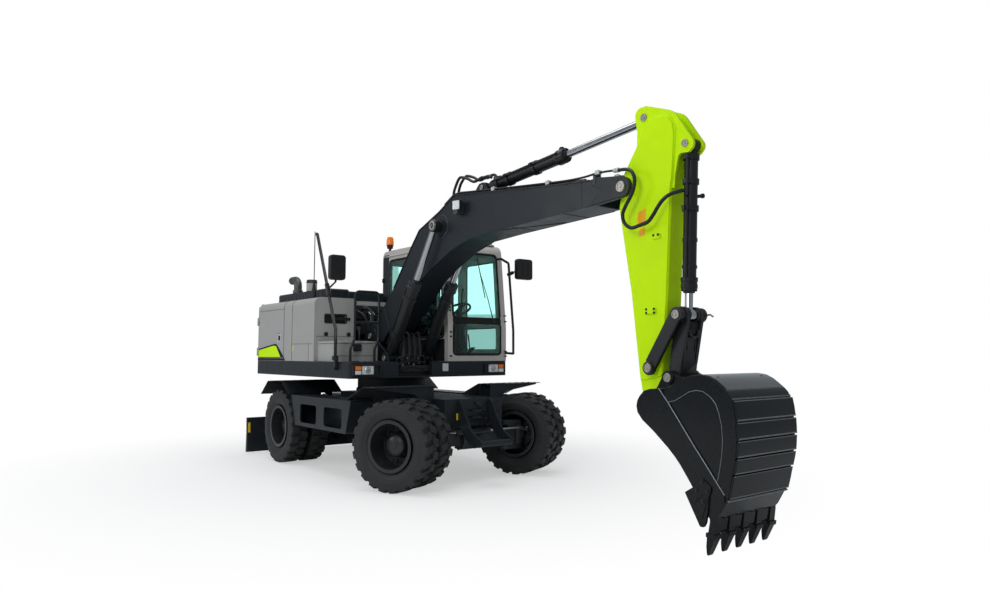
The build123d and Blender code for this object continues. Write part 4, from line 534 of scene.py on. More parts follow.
label = extruded(eased([(-0.262, 0.745), (-0.238, 0.745), (-0.238, 0.825), (-0.262, 0.825)], 0.004), "x",
    (FACE_X, FACE_X + 0.0015))
piece("face_label", label, yellow_label, "chassis", "paint_charcoal")

# raised pattern on the fenders and steps; (x, z) corners of the front and rear fenders' tops
FENDER_TOPS = (
    ((1.025, 0.98), (1.445, 1.145), (1.74, 1.15)),
    ((-1.695, 0.939), (-1.439, 1.134), (-0.933, 1.15), (-0.681, 0.983)),
)
plates = []
for top in FENDER_TOPS:
    for (x0, z0), (x1, z1) in zip(top[:-1], top[1:]):
        for y in (-1.24, 0.435):
            plates.append(studs((x0, y, z0), (x1 - x0, 0, z1 - z0), LEFT,
                (math.hypot(x1 - x0, z1 - z0), 0.805)))
for y in (-1.212, 0.905):
    plates.append(studs((-0.64, y, 0.967), AHEAD, LEFT, (1.72, 0.305), 0.06))
    plates.append(studs((-0.46, y + (0.02 if y < 0 else 0), 0.59), AHEAD, LEFT, (1.38, 0.28), 0.06))
plates.append(studs((2.175, -0.215, 0.52), AHEAD, LEFT, (0.185, 0.43), 0.043))
piece("tread_plates", plates, charcoal, "chassis", "paint_charcoal")

# thin half-round beads welded along the bent edges of the fenders and the front step
beads = []
for side in SIDES:
    for top in FENDER_TOPS:
        beads.append(tube([(x, side * 1.2415, z - 0.004) for x, z in top], 0.0034, 8))
    nose = [(1.936, 0.974), (1.985, 0.955), (2.045, 0.845), (2.115, 0.72), (2.215, 0.6), (2.378, 0.532)]
    beads.append(hose([(x, side * 0.231, z) for x, z in nose], 6, 0.006, 8))
piece("edge_beads", beads, charcoal, "chassis", "paint_charcoal")

# hoses from the steering cylinder's ports up behind the face plate, and brake pipes along the axles
hose_black = finish("hose_rubber", (0.016, 0.016, 0.018), 0.5, mottle=0.1)
lines = []
for side in SIDES:
    port = (1.922, side * 0.215, 0.662)
    union = ((-0.004, 0.012), (0.02, 0.012), (0.022, 0.009), (0.034, 0.009))
    lines.append(turned(union, port, UP, 6))
    lines.append(hose([(1.922, side * 0.215, 0.69), (1.918, side * 0.235, 0.74), (1.88, side * 0.275, 0.72),
        (1.84, side * 0.26, 0.655), (1.8, side * 0.24, 0.595)], 8, 0.009, 10))
    lines.append(hose([(1.7, side * 0.18, 0.6), (1.7, side * 0.35, 0.605), (1.705, side * 0.56, 0.6),
        (1.725, side * 0.65, 0.595)], 6, 0.006, 8))
    lines.append(hose([(-1.13, side * 0.18, 0.6), (-1.13, side * 0.4, 0.602), (-1.13, side * 0.58, 0.6)], 6,
        0.006, 8))
piece("undercarriage_lines", lines, hose_black, "chassis", "paint_black")

# ---- Tyres -------------------------------------------------------------------
# Each wheel carries two bias-ply tyres of black rubber with blocks that stand half a step apart
# on the two halves of the tread; the sidewalls bulge and carry two moulded rings.
rubber = finish("tyre_rubber", (0.02, 0.0212, 0.0225), 0.6, mottle=0.15, bump=0.4, dust=0.05)
TYRE_OUTER = 0.5095
TREAD_ROOT = 0.4845
LUG_COUNT = 22
LUG_LEAN = 1.4
# outboard place, radius and share of the lug height, from the inner bead to the middle
INNER_HALF = [
    (-0.08, 0.2915, 0), (-0.094, 0.3, 0), (-0.108, 0.325, 0), (-0.119, 0.355, 0),
    (-0.121, 0.36, 0), (-0.1245, 0.362, 0), (-0.1255, 0.39, 0), (-0.127, 0.394, 0),
    (-0.127, 0.402, 0), (-0.1255, 0.406, 0), (-0.1245, 0.425, 0), (-0.1215, 0.448, 0),
    (-0.1215, 0.452, 0.18), (-0.12, 0.472, 0.55), (-0.112, 0.4815, 0.97), (-0.07, 0.4835, 1),
    (-0.03, 0.4843, 1), (-0.01, 0.4845, 1), (-0.006, 0.4845, 0),
]
# the outer half mirrors it, and the last column says which half a row is in
TYRE_SECTION = np.array(
    [(*row, 0) for row in INNER_HALF] + [(-out, radius, share, 1) for out, radius,
        share in INNER_HALF[::-1]]
)
# places round one step of the tread, as shares of it, and the lug height there
LUG_STEPS = np.array([(-0.5, 0), (-0.36, 0), (-0.325, 0), (-0.285, 1), (-0.14, 1), (0.0, 1), (0.14, 1),
    (0.285, 1), (0.325, 0), (0.36, 0)])


def tyre(centre, spin):
    """A tyre: radius is the section's plus the lug depth times the section's and the step's lug shares,
    and the outer half's angle runs half a step ahead."""
    spin = np.asarray(spin, float)
    up = np.array((0.0, 0.0, 1.0))
    ahead = np.cross(up, spin)
    step = 2 * np.pi / LUG_COUNT
    share = (np.arange(LUG_COUNT)[:, None] + LUG_STEPS[None, :, 0]).reshape(-1)
    lug = np.tile(LUG_STEPS[:, 1], LUG_COUNT)
    angle = step * (share[:, None] + 0.5 * TYRE_SECTION[None, :,
        3] + LUG_LEAN * np.abs(TYRE_SECTION[None, :, 0]))
    radius = TYRE_SECTION[None, :, 1] + (TYRE_OUTER - TREAD_ROOT) * lug[:, None] * TYRE_SECTION[None, :, 2]
    radial = np.cos(angle)[..., None] * up + np.sin(angle)[..., None] * ahead
    points = np.asarray(centre) + TYRE_SECTION[None, :, :1] * spin + radius[..., None] * radial
    faces = grid_faces(len(share), len(TYRE_SECTION), wrap_rows=True)
    return points.reshape(-1, 3), faces


STEER = math.radians(24.5)
KINGPIN_Y = 0.8
AXLE_Z = 0.51
INNER_TYRE = 0.0075
TWIN_PITCH = 0.31
# name, axle's place along the machine, side, steering angle
WHEELS = (
    ("front_right", FRONT_AXLE, -1, STEER),
    ("front_left", FRONT_AXLE, 1, STEER),
    ("rear_right", REAR_AXLE, -1, 0.0),
    ("rear_left", REAR_AXLE, 1, 0.0),
)


def wheel_frame(axle_x, side, steer):
    """The kingpin line's point on the axle, and the outboard direction of the wheel."""
    spin = np.array((-side * math.sin(steer), side * math.cos(steer), 0.0))
    return np.array((axle_x, side * KINGPIN_Y, AXLE_Z)), spin


def bead_closed(shape):
    """A tyre with its two beads joined inside by quads round the bore."""
    points, faces = shape
    columns = len(TYRE_SECTION)
    rows = len(points) // columns
    faces += [
        (((k + 1) % rows) * columns, ((k + 1) % rows) * columns + columns - 1, k * columns + columns - 1,
            k * columns)
        for k in range(rows)
    ]
    return points, faces


for name, axle_x, side, steer in WHEELS:
    origin, spin = wheel_frame(axle_x, side, steer)
    pair = [bead_closed(tyre(origin + spin * place, spin))
        for place in (INNER_TYRE, INNER_TYRE + TWIN_PITCH)]
    rubber_pair = piece("tyre_pair_" + name, pair, rubber, "wheels_" + name, "tyre", angle=40)
    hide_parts("tyres_" + name)

# ---- Rims --------------------------------------------------------------------
# Black pressed rims clamped by ten nuts round a cast planetary hub with a ribbed cap.
rim_black = finish("rim_black", (0.019, 0.021, 0.024), 0.36, coat=0.15, dust=0.03)
NUTS = 10
# how far outboard of the kingpin line the disc's nuts sit
DISC_OUT = 0.1745
for name, axle_x, side, steer in WHEELS:
    origin, spin = wheel_frame(axle_x, side, steer)
    skin("rim_" + name, rim_black, 0.004)
    disc = origin + spin * DISC_OUT
    nuts = bolts(circle_of(disc, spin, 0.2, NUTS), spin, 0.016, 0.03)
    cap = bolts(circle_of(origin + spin * 0.309, spin, 0.08, 8, 0.2), spin, 0.009, 0.012)
    bosses = [turned(((-0.001, 0.034), (0.004, 0.034), (0.008, 0.028)), origin + spin * 0.33, spin, 24)]
    ribs = [turned(((0.0, 0.128), (0.012, 0.128), (0.016, 0.124)), origin + spin * 0.222, spin, 40)]
    clamp = ((-0.004, 0.03), (0.01, 0.026))
    clamps = [turned(clamp, place, spin, 8) for place in circle_of(disc, spin, 0.235, NUTS, 0.31)]
    trim = nuts + cap + bosses + ribs + clamps
    piece("hub_trim_" + name, trim, rim_black, "wheels_" + name, SLOT_OF["rim_" + name])

# ---- Deck --------------------------------------------------------------------
# The turning platform is a charcoal steel box with rounded front corners; two lamp pods are screwed
# to its front, and the hoses of the slewing joint rise through its notch to the boom.
skin("platform", charcoal, 0.008, 3)
lamp_clear = finish("lamp_lens", (0.72, 0.74, 0.76), 0.08, mottle=0.25, grain=70.0, coat=0.6)
orange_lens = finish("orange_lens", (0.95, 0.2, 0.005), 0.15, mottle=0.06, coat=0.7)
white_lens = finish("white_lens", (0.75, 0.76, 0.78), 0.15, mottle=0.04, coat=0.6)
white_plate = finish("blank_plate", (0.62, 0.64, 0.66), 0.4, mottle=0.02)
moulded = finish("black_plastic", (0.014, 0.014, 0.016), 0.45, bump=0.15)
chrome = finish("chrome", (0.42, 0.43, 0.45), 0.1, metal=1.0, mottle=0.03)
DECK_FACE = 1.0753
DECK_TOP = 1.43
# side of deck and hood, and the height just above the deck where panels start
BODY_SIDE = 1.2205
ON_DECK = 1.432


def framed(low, high, radius, wall):
    """Outer and inner rounded outlines of a frame between two corners."""
    inner = [(a + wall, b - wall) for a, b in zip(low, high)]
    return rect(*zip(low, high), radius), rect(*inner, max(radius - wall, 0.004))


def ring_between(outer, inner, axis, ends):
    """A frame: two outlines of equally many points carried between two values on the axis."""
    place = "xyz".index(axis)
    if backwards(outer, axis):
        outer, inner = outer[::-1], inner[::-1]
    rows = [np.insert(line, place, value, axis=1) for line,
        value in ((outer, min(ends)), (outer, max(ends)), (inner, max(ends)), (inner, min(ends)))]
    points = np.stack(rows)
    return points.reshape(-1, 3), grid_faces(4, len(outer), wrap_rows=True, wrap_columns=True)


LENS_BACK, LENS_FOOT, LENS_TOP = 1.08, 1.279, 1.382
REFLECTOR = ((0.0, 0.04), (0.004, 0.036), (0.004, 0.03), (0.001, 0.012), (0.003, 0.008), (0.003, 0.0))
pods, clears, oranges, whites, reflectors = [], [], [], [], []
for low, high, side in ((-1.19, -0.806, -1), (0.81, 1.166, 1)):
    outer, inner = framed((low, 1.26), (high, 1.4), 0.03, 0.016)
    pods.append(ring_between(outer, inner, "x", (DECK_FACE, 1.105)))
    pods.append(extruded(inner, "x", (DECK_FACE, 1.082)))
    edge, toward = (low + 0.03, 1) if side < 0 else (high - 0.03, -1)
    small = (edge, edge + toward * 0.082)
    oranges.append(extruded(rect(small, (1.332, LENS_TOP), 0.006), "x", (LENS_BACK, 1.099)))
    whites.append(extruded(rect(small, (LENS_FOOT, 1.324), 0.006), "x", (LENS_BACK, 1.098)))
    a, b = edge + toward * 0.098, edge + toward * 0.252
    clears.append(extruded(rect((a, b), (LENS_FOOT, LENS_TOP), 0.01), "x", (LENS_BACK, 1.096)))
    bulb = (1.0962, (a + b) / 2, 1.331)
    reflectors.append(turned(REFLECTOR, bulb, AHEAD, 24))
pod_frames = piece("lamp_pods", pods, moulded, "house", "black_plastic", 0.003)
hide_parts("lamps")
piece("headlamp_lenses", clears, lamp_clear, "house", "lamp_plastic", 0.002)
piece("headlamp_reflectors", reflectors, chrome, "house", "chrome")
piece("indicator_lenses", oranges, orange_lens, "house", "lamp_plastic", 0.002)
piece("position_lenses", whites, white_lens, "house", "lamp_plastic", 0.002)
plate_outline = rect((0.125, 0.215), (1.302, 1.402), 0.006)
piece("blank_plate", extruded(plate_outline, "x", (DECK_FACE - 0.001, DECK_FACE + 0.002)), white_plate,
    "house", "paint_grey")

# seam round the deck's edge, bolts on its top and ribs under it
seams = [tube([(-1.9, side * BODY_SIDE, 1.418), (1.02, side * BODY_SIDE, 1.418)], 0.0022, 6)
    for side in SIDES]
seams += [tube([(x, side * BODY_SIDE, 1.232), (x, side * BODY_SIDE, 1.428)], 0.002, 6) for side in SIDES
    for x in (-1.545, 0.42)]
piece("deck_seams", seams, black_paint, "house", "paint_black")
deck_bolts = bolts([(x, y, DECK_TOP) for x in (0.66, 0.7) for y in (-0.985, -0.925, -0.64, -0.58)], UP,
    0.008, 0.007)
deck_bolts += bolts([(0.95, y, DECK_TOP) for y in (-1.15, -0.95, -0.7)], UP, 0.009, 0.008)
for y in (-0.955, -0.61):
    deck_bolts.append(cuboid((0.64, 0.72), (y - 0.045, y + 0.045), (DECK_TOP, DECK_TOP + 0.008)))
piece("deck_bolts", deck_bolts, black_paint, "house", "paint_black")

# valve block in the notch, with the hoses that feed the boom's cylinders
block_parts = [cuboid((0.74, 0.94), (-0.5, 0.12), (1.25, 1.3)),
    cuboid((0.86, 0.985), (-0.46, 0.02), (1.3, 1.38))]
HOSE_FOOT = ((-0.002, 0.02), (0.022, 0.02), (0.024, 0.015), (0.06, 0.015), (0.064, 0.019), (0.085, 0.019))
HOSE_END = ((0.0, 0.02), (0.03, 0.02), (0.034, 0.015), (0.05, 0.015))
fittings = []
hoses = []
for k, y in enumerate((-0.4, -0.315, -0.235, -0.155)):
    lift = 0.02 * (k % 2)
    fittings.append(turned(HOSE_FOOT, (0.925, y, 1.38 + lift), UP, 6))
    route = [(0.925, y, 1.45 + lift), (0.935, y + 0.005, 1.56), (0.93, y + 0.012, 1.68 + lift),
        (0.9, y + 0.02, 1.76 + lift), (0.85, y + 0.02, 1.785 + lift), (0.8, y + 0.018, 1.76 + lift)]
    hoses.append(hose(route, 8, 0.0165, 12))
    fittings.append(turned(HOSE_END, (0.8, y + 0.018, 1.76 + lift), (-0.75, 0, -0.66), 6))
    hoses.append(hose([(0.9, y - 0.02, 1.36), (0.98, y - 0.03, 1.44), (0.99, y - 0.01, 1.58),
        (0.93, y + 0.02, 1.66)], 8, 0.012, 10))
block_parts.append(cuboid((0.735, 0.8), (-0.345, -0.055), (1.6, 1.74)))
block_parts.append(cuboid((0.735, 0.76), (-0.335, -0.065), (1.3, 1.6)))
for z in (1.34, 1.42, 1.5):
    hoses.append(hose([(0.97, -0.5, z - 0.03), (1.0, -0.42, z), (0.985, -0.3, z + 0.02), (0.99, -0.14, z),
        (0.96, -0.07, z - 0.03)], 8, 0.011, 10))
piece("boom_foot_valves", block_parts, casting, "house", "cast_iron", 0.004)
piece("boom_foot_hoses", hoses, hose_black, "house", "paint_black")
piece("boom_foot_fittings", fittings, bare_steel, "house", "steel")

# ---- Counterweight and engine ------------------------------------------------
# A cast iron counterweight in charcoal paint closes the rear; the engine sits behind the doors.
skin("counterweight", charcoal, 0.014, 3)
skin("engine", casting, 0.01)
lugs = [turned(((-0.002, 0.05), (0.02, 0.05), (0.03, 0.03)), (-1.98, side * 0.55, 2.239), UP, 24)
    for side in SIDES]
piece("counterweight_lugs", lugs, casting, "house", "cast_iron")

# ---- Hood --------------------------------------------------------------------
# Pressed steel hood in warm light grey paint with rounded shoulders, dark seams between its panels,
# a recessed grip in its front, and a hinged service door on each side.
grey = finish("grey_paint", (0.35, 0.342, 0.334), 0.4, mottle=0.025, coat=0.2)
groove = finish("seam_black", (0.006, 0.006, 0.007), 0.7)
lime = finish("lime_paint", (0.59, 0.92, 0.0005), 0.42, mottle=0.02, shine=0.1)
HOOD_TOP = 2.2805
SHOULDER = 0.1
skin("hood", grey, 0.006, 3)
skin("engine_door", grey, 0.004)
skin("cooler_door", grey, 0.004)
lines = []
turn = np.linspace(0, np.pi / 2, 8)
for x in (-0.943, -0.66):
    for side in SIDES:
        if side > 0 and x > -0.73:  # the cab covers this one
            continue
        y = np.concatenate([[BODY_SIDE], BODY_SIDE - SHOULDER + SHOULDER * np.cos(turn), [0.98]])
        z = np.concatenate([[ON_DECK], HOOD_TOP - SHOULDER + SHOULDER * np.sin(turn), [HOOD_TOP]])
        lines.append(tube(np.column_stack([np.full(len(y), x), side * y, z]), 0.0028, 6))
corner = (-0.112, -BODY_SIDE, 1.662)
for run in (
    [(-0.66, -BODY_SIDE, 1.662), corner, (-0.112, -BODY_SIDE, ON_DECK)],
    [corner, (0.0, -BODY_SIDE, 1.662)],
    [(0.0505, -1.19, 1.76), (0.0505, -0.64, 1.76)],
):
    lines.append(tube(run, 0.0022, 6))
piece("hood_seams", lines, groove, "house", "paint_black")

# grip plate, its handle and two latches on the hood's front face
grip = [cuboid((0.025, 0.0275), (-1.063, -0.762), (1.947, 2.048))]
outer, inner = framed((-1.078, 1.932), (-0.747, 2.063), 0.026, 0.014)
grip.append(ring_between(outer, inner, "x", (0.046, 0.054)))
grip.append(extruded(rect((-0.965, -0.7), (1.975, 2.015), 0.012), "x", (0.04, 0.062)))
for y in (-1.05, -0.72):
    latch = ((-0.002, 0.03), (0.006, 0.03), (0.012, 0.02), (0.012, 0.0))
    grip.append(turned(latch, (0.05, y, 1.79), AHEAD, 20))
piece("hood_grip", grip, moulded, "house", "black_plastic", 0.003)

# paddle latch and pull on each service door, and coloured panel on its foot
for body, side in (("engine_door", -1), ("cooler_door", 1)):
    y = side * 1.2202
    outer, inner = framed((-1.16, 1.7), (-1.05, 1.805), 0.018, 0.012)
    surround = ring_between(outer, inner, "y", (y - side * 0.003, y + side * 0.004))
    piece(body + "_surround", surround, white_plate, body, "paint_grey")
    paddle = [extruded(rect((-1.145, -1.065), (1.716, 1.789), 0.01), "y",
        (y - side * 0.011, y - side * 0.002))]
    paddle.append(extruded(rect((-1.125, -1.085), (1.73, 1.78), 0.008), "y",
        (y - side * 0.004, y + side * 0.008)))
    paddle.append(cuboid((-1.16, -1.1), (y - side * 0.001, y + side * 0.004), (1.812, 1.82)))
    piece(body + "_latch", paddle, moulded, body, "black_plastic", 0.002)
    border = eased([(-1.897, 1.474), (-1.897, 1.6), (-1.27, 1.672), (-1.19, 1.66), (-0.953, 1.5),
        (-0.953, 1.474)], 0.012)
    piece(body + "_border", extruded(border, "y", (y - side * 0.001, y + side * 0.0012)), groove, body,
        "paint_black")
    field = eased([(-1.893, 1.48), (-1.893, 1.578), (-1.3, 1.646), (-1.215, 1.636), (-1.05, 1.48)], 0.012)
    piece(body + "_field", extruded(field, "y", (y, y + side * 0.0022)), lime, body, "paint_green")
foot = []
for side in SIDES:
    y = side * BODY_SIDE
    band = [(-1.917, 1.434), (-1.917, 1.462), (-0.944, 1.462), (-0.944, 1.494), (-0.88, 1.434)]
    foot.append(extruded(band, "y", (y - side * 0.001, y + side * 0.0012)))
piece("hood_foot_band", foot, groove, "house", "paint_black")
tick = [(-0.64, 1.56), (-0.628, 1.56), (-0.598, 1.64), (-0.612, 1.64)]
piece("hood_tick", extruded(tick, "y", (-BODY_SIDE, -BODY_SIDE - 0.001)), lime, "house", "paint_green")

# cooling slats on the left door
slats = []
for z in np.arange(1.7, 2.1, 0.032):
    slat = [(1.2195, z), (1.23, z + 0.006), (1.23, z + 0.01), (1.2195, z + 0.022)]
    slats.append(extruded(slat, "x", (-1.83, -1.24)))
piece("cooler_slats", slats, black_paint, "cooler_door", "paint_black")

# ---- Hood roof ---------------------------------------------------------------
# The raised engine cover is bolted to the roof and has stiffening ribs and slots; beside it stand the
# exhaust, the air precleaner with its ribbed cap, and the aerial on its rubber boot.
skin("engine_cover", charcoal, 0.006, 3)
COVER_TOP = 2.42
ribs = []
for x in np.arange(-1.7, -0.44, 0.105):
    # the ribs stop short of the exhaust, the precleaner and the cab
    if abs(x + 1.23) > 0.085 and abs(x + 0.75) > 0.09:
        left = 0.04 if x > -0.74 else 0.88
        ribs.append(cuboid((x - 0.01, x + 0.01), (-0.9, left), (COVER_TOP - 0.002, COVER_TOP + 0.01)))
slots = [cuboid((x - 0.035, x + 0.035), (-0.9775, -0.97), (2.315, 2.375))
    for x in np.arange(-1.66, -0.2, 0.125)]
cover_bolts = bolts([(x, -1.0, 2.28) for x in np.arange(-1.72, -0.1, 0.2)], UP, 0.009, 0.008)
piece("cover_ribs", ribs + slots + cover_bolts, black_paint, "house", "paint_black", 0.003)
walk = studs((-1.78, 0.16, COVER_TOP), AHEAD, LEFT, (1.0, 0.7), 0.06)
piece("cover_tread", walk, charcoal, "house", "paint_charcoal")
exhaust_grey = finish("exhaust_steel", (0.085, 0.085, 0.088), 0.42, metal=0.6, mottle=0.1)
skin("exhaust", exhaust_grey, 0.003)
skin("precleaner", grey, 0.004)
cap = []
CLEANER = (-0.75, -0.9)
cap.append(turned(((-0.001, 0.078), (0.012, 0.08), (0.02, 0.072), (0.036, 0.066), (0.048, 0.04),
    (0.05, 0.0)), (*CLEANER, 2.535), UP, 32))
for angle in np.arange(0, 2 * np.pi, np.pi / 7):
    spot = np.array(CLEANER) + 0.066 * np.array((math.cos(angle), math.sin(angle)))
    cap.append(turned(((0.0, 0.01), (0.036, 0.009), (0.042, 0.005)), (*spot, 2.54), UP, 8))
piece("precleaner_cap", cap, moulded, "house", "black_plastic")
skin("aerial", moulded, 0.0)
AERIAL = (-0.26, -1.09)
aerial_trim = []
for z in np.arange(0.02, 0.22, 0.022):
    boot = 0.038 - 0.113 * z  # the boot's radius at that height
    aerial_trim.append(turned(((z, boot + 0.003), (z + 0.006, boot + 0.0025)), (*AERIAL, 2.282), UP, 20))
piece("aerial_rings", aerial_trim, moulded, "house", "black_plastic")

# ---- Storage box -------------------------------------------------------------
# A steel tool box in the hood's paint stands before the hood, with a hinged lid and a black latch.
skin("storage_box", grey, 0.01, 3)
skin("storage_lid", grey, 0.006, 3)
box_trim = [extruded(rect((-0.925, -0.815), (1.56, 1.655), 0.016), "x", (0.585, 0.604))]
box_trim.append(turned(((0.0, 0.02), (0.016, 0.018), (0.018, 0.0)), (0.603, -0.87, 1.59), AHEAD, 20))
box_trim.append(cuboid((0.585, 0.5865), (-1.15, -0.59), (1.5, 1.506)))
piece("storage_latch", box_trim, moulded, "house", "black_plastic", 0.003)
lid_ribs = [cuboid((0.16, 0.5), (y - 0.018, y + 0.018), (1.688, 1.696))
    for y in (-1.06, -0.94, -0.8, -0.68)]
lid_ribs += [cuboid((0.592, 0.599), (y - 0.035, y + 0.035), (1.668, 1.686)) for y in (-1.04, -0.7)]
piece("storage_lid_ribs", lid_ribs, grey, "storage_lid", "paint_grey", 0.003)

# ---- Pump bay ----------------------------------------------------------------
# Between the hood and the boom the pumps, filter and pipes stand open; blued and black hydraulic
# fittings are screwed together and their hoses run forward under the cab's side.
bay = []
bay.append(turned(((0.0, 0.11), (0.02, 0.135), (0.16, 0.135), (0.18, 0.1), (0.3, 0.095), (0.32, 0.06)),
    (-0.36, -0.3, 1.64), AHEAD, 28))
bay.append(turned(((0.0, 0.06), (0.2, 0.06), (0.23, 0.045), (0.25, 0.0)), (-0.2, -0.5, ON_DECK), UP, 24))
bay.append(turned(((0.0, 0.07), (0.34, 0.07), (0.36, 0.076), (0.39, 0.076), (0.4, 0.0)),
    (-0.24, 0.06, ON_DECK), UP, 28))
bay.append(cuboid((-0.36, -0.28), (-0.58, 0.1), (2.02, 2.2)))
bay.append(cuboid((-0.365, -0.35), (-0.6, 0.18), (1.45, 2.22)))
bay.append(cuboid((-0.34, -0.12), (-0.46, -0.16), (1.8, 1.96)))
bay += bolts(circle_of((-0.038, -0.3, 1.64), AHEAD, 0.046, 6), AHEAD, 0.008, 0.01)
piece("pump_and_filter", bay, casting, "house", "cast_iron", 0.006)
ram = turned(((0.0, 0.05), (0.01, 0.062), (0.034, 0.062), (0.05, 0.052), (0.064, 0.03), (0.068, 0.0)),
    (-0.2, -0.243, 2.07), UP, 32)
neck = turned(((0.0, 0.03), (0.11, 0.03)), (-0.2, -0.243, 1.96), UP, 20)
piece("filler_cap", [ram, neck], chrome, "house", "chrome")
loops = []
for path, radius in (
    ([(-0.3, -0.5, 2.06), (-0.16, -0.52, 2.12), (-0.02, -0.46, 2.06), (0.02, -0.4, 1.9), (0.0, -0.38, 1.7),
        (0.03, -0.37, 1.46)], 0.02),
    ([(-0.3, -0.38, 2.1), (-0.12, -0.38, 2.17), (0.02, -0.36, 2.1), (0.05, -0.34, 1.92), (0.03, -0.33, 1.7),
        (0.05, -0.33, 1.46)], 0.018),
    ([(-0.14, -0.3, 1.64), (0.04, -0.3, 1.66), (0.1, -0.36, 1.6), (0.1, -0.46, 1.5), (0.1, -0.5, 1.44)],
        0.024),
    ([(-0.28, -0.1, 2.1), (-0.1, -0.08, 2.16), (0.03, -0.08, 2.06), (0.03, -0.06, 1.86),
        (-0.05, -0.06, 1.6), (-0.05, -0.05, 1.44)], 0.02),
    ([(-0.22, -0.46, 1.9), (-0.08, -0.52, 1.88), (0.02, -0.54, 1.78), (0.01, -0.55, 1.6),
        (0.03, -0.55, 1.44)], 0.016),
    ([(-0.2, -0.16, 1.86), (-0.04, -0.12, 1.9), (0.06, -0.1, 1.8), (0.04, -0.1, 1.62), (0.1, -0.05, 1.48),
        (0.3, -0.04, 1.45)], 0.016),
    ([(-0.16, -0.44, 1.66), (-0.06, -0.5, 1.72), (0.05, -0.52, 1.68), (0.12, -0.54, 1.56),
        (0.3, -0.555, 1.47), (0.56, -0.55, 1.46)], 0.014),
):
    loops.append(hose(path, 8, radius, 12))
piece("pump_hoses", loops, hose_black, "house", "paint_black")
crimps = []
crimp = ((-0.03, 0.026), (0.022, 0.026), (0.024, 0.03), (0.04, 0.03))
for spot, way in (
    ((-0.16, -0.52, 2.12), AHEAD), ((-0.12, -0.38, 2.17), AHEAD), ((0.03, -0.37, 1.5), UP),
    ((0.05, -0.33, 1.5), UP), ((-0.05, -0.05, 1.46), UP), ((0.03, -0.55, 1.47), UP),
    ((-0.08, -0.52, 1.88), AHEAD),
):
    crimps.append(turned(crimp, spot, way, 12))
piece("pump_fittings", crimps, bare_steel, "house", "steel")

# ---- Cab ---------------------------------------------------------------------
# A welded cab in the hood's grey with a dark rear right corner and lower side, black rubber round its
# tinted glass, a wiper, a grab rail, and its door hinged at the rear edge.
CAB_RIGHT, CAB_LEFT = 0.22, 1.21
CAB_REAR, CAB_FRONT, CAB_TOP = -0.68, 1.062, 3.065
ROOF_FRONT = 0.945
BEND = 1.9
SLOPE = (CAB_FRONT - ROOF_FRONT) / (CAB_TOP - BEND)
tinted = {"Base Color": (0.5, 0.74, 0.7, 1.0), "Roughness": 0.03, "Transmission Weight": 1.0, "IOR": 1.25}
pane = new_material("tinted_glass", tinted)[0]
cab_grey = finish("cab_grey_paint", (0.47, 0.445, 0.42), 0.38, mottle=0.02, coat=0.25)
skin("cab", cab_grey, 0.01, 3)
skin("cab_door", cab_grey, 0.006, 3)
skin("cab_glass", pane, 0.0)
skin("cab_door_glass", pane, 0.0)


def seal_round(outline, axis, value, out, wide=0.013, high=0.007):
    """A rubber seal: an oval of those half sizes carried round a closed outline that lies across the axis
    at a value, its higher half standing out to the given side."""
    place = "xyz".index(axis)
    path = np.insert(np.asarray(outline, float), place, value, axis=1)
    run = np.roll(path, -1, 0) - np.roll(path, 1, 0)
    run /= np.linalg.norm(run, axis=1)[:, None]
    normal = np.zeros(3)
    normal[place] = out
    across = np.cross(run, normal)
    across /= np.linalg.norm(across, axis=1)[:, None]
    up = np.cross(across, run)
    turn = np.linspace(0, 2 * np.pi, 10, endpoint=False)
    c, s = (f(turn)[None, :, None] for f in (np.cos, np.sin))
    points = path[:, None] + c * across[:, None] * wide + s * up[:, None] * high
    faces = grid_faces(len(path), 10, wrap_rows=True, wrap_columns=True)
    return points.reshape(-1, 3), [face[::-1] for face in faces]


def screen_x(height):
    """How far forward the cab's front stands at a height: upright below the bend, leaning back above it."""
    return CAB_FRONT - np.maximum(0, np.asarray(height) - BEND) * SLOPE


seals = []
for low, high in ((1.52, 1.95), (2.01, 2.92)):
    ring = rect((0.31, 1.11), (low, high), 0.055)
    seals.append(seal_round(ring, "x", screen_x(ring[:, 1]) + 0.001, 1, 0.016, 0.009))
right_window = eased([(-0.48, 1.75), (-0.48, 2.92), (0.85, 2.92), (0.955, 1.9), (0.955, 1.75)], 0.06)
left_window = eased([(-0.6, 1.9), (-0.6, 2.92), (-0.04, 2.92), (-0.04, 1.9)], 0.06)
seals.append(seal_round(right_window, "y", CAB_RIGHT, -1))
seals.append(seal_round(left_window, "y", CAB_LEFT, 1))
seals.append(seal_round(rect((0.34, 1.09), (2.0, 2.88), 0.01), "x", CAB_REAR, -1))
seals.append(seal_round(rect((0.25, 0.78), (0.37, 1.06), 0.01), "z", CAB_TOP, 1))
piece("cab_seals", seals, groove, "house", "black_plastic")
door_seals = []
for window in (
    [(0.13, 1.99), (0.13, 2.85), (0.815, 2.85), (0.885, 1.99)],
    [(0.13, 1.58), (0.13, 1.9), (0.885, 1.9), (0.885, 1.58)],
):
    door_seals.append(seal_round(eased(window, 0.05), "y", CAB_LEFT, 1))
piece("door_seals", door_seals, groove, "cab_door", "black_plastic")

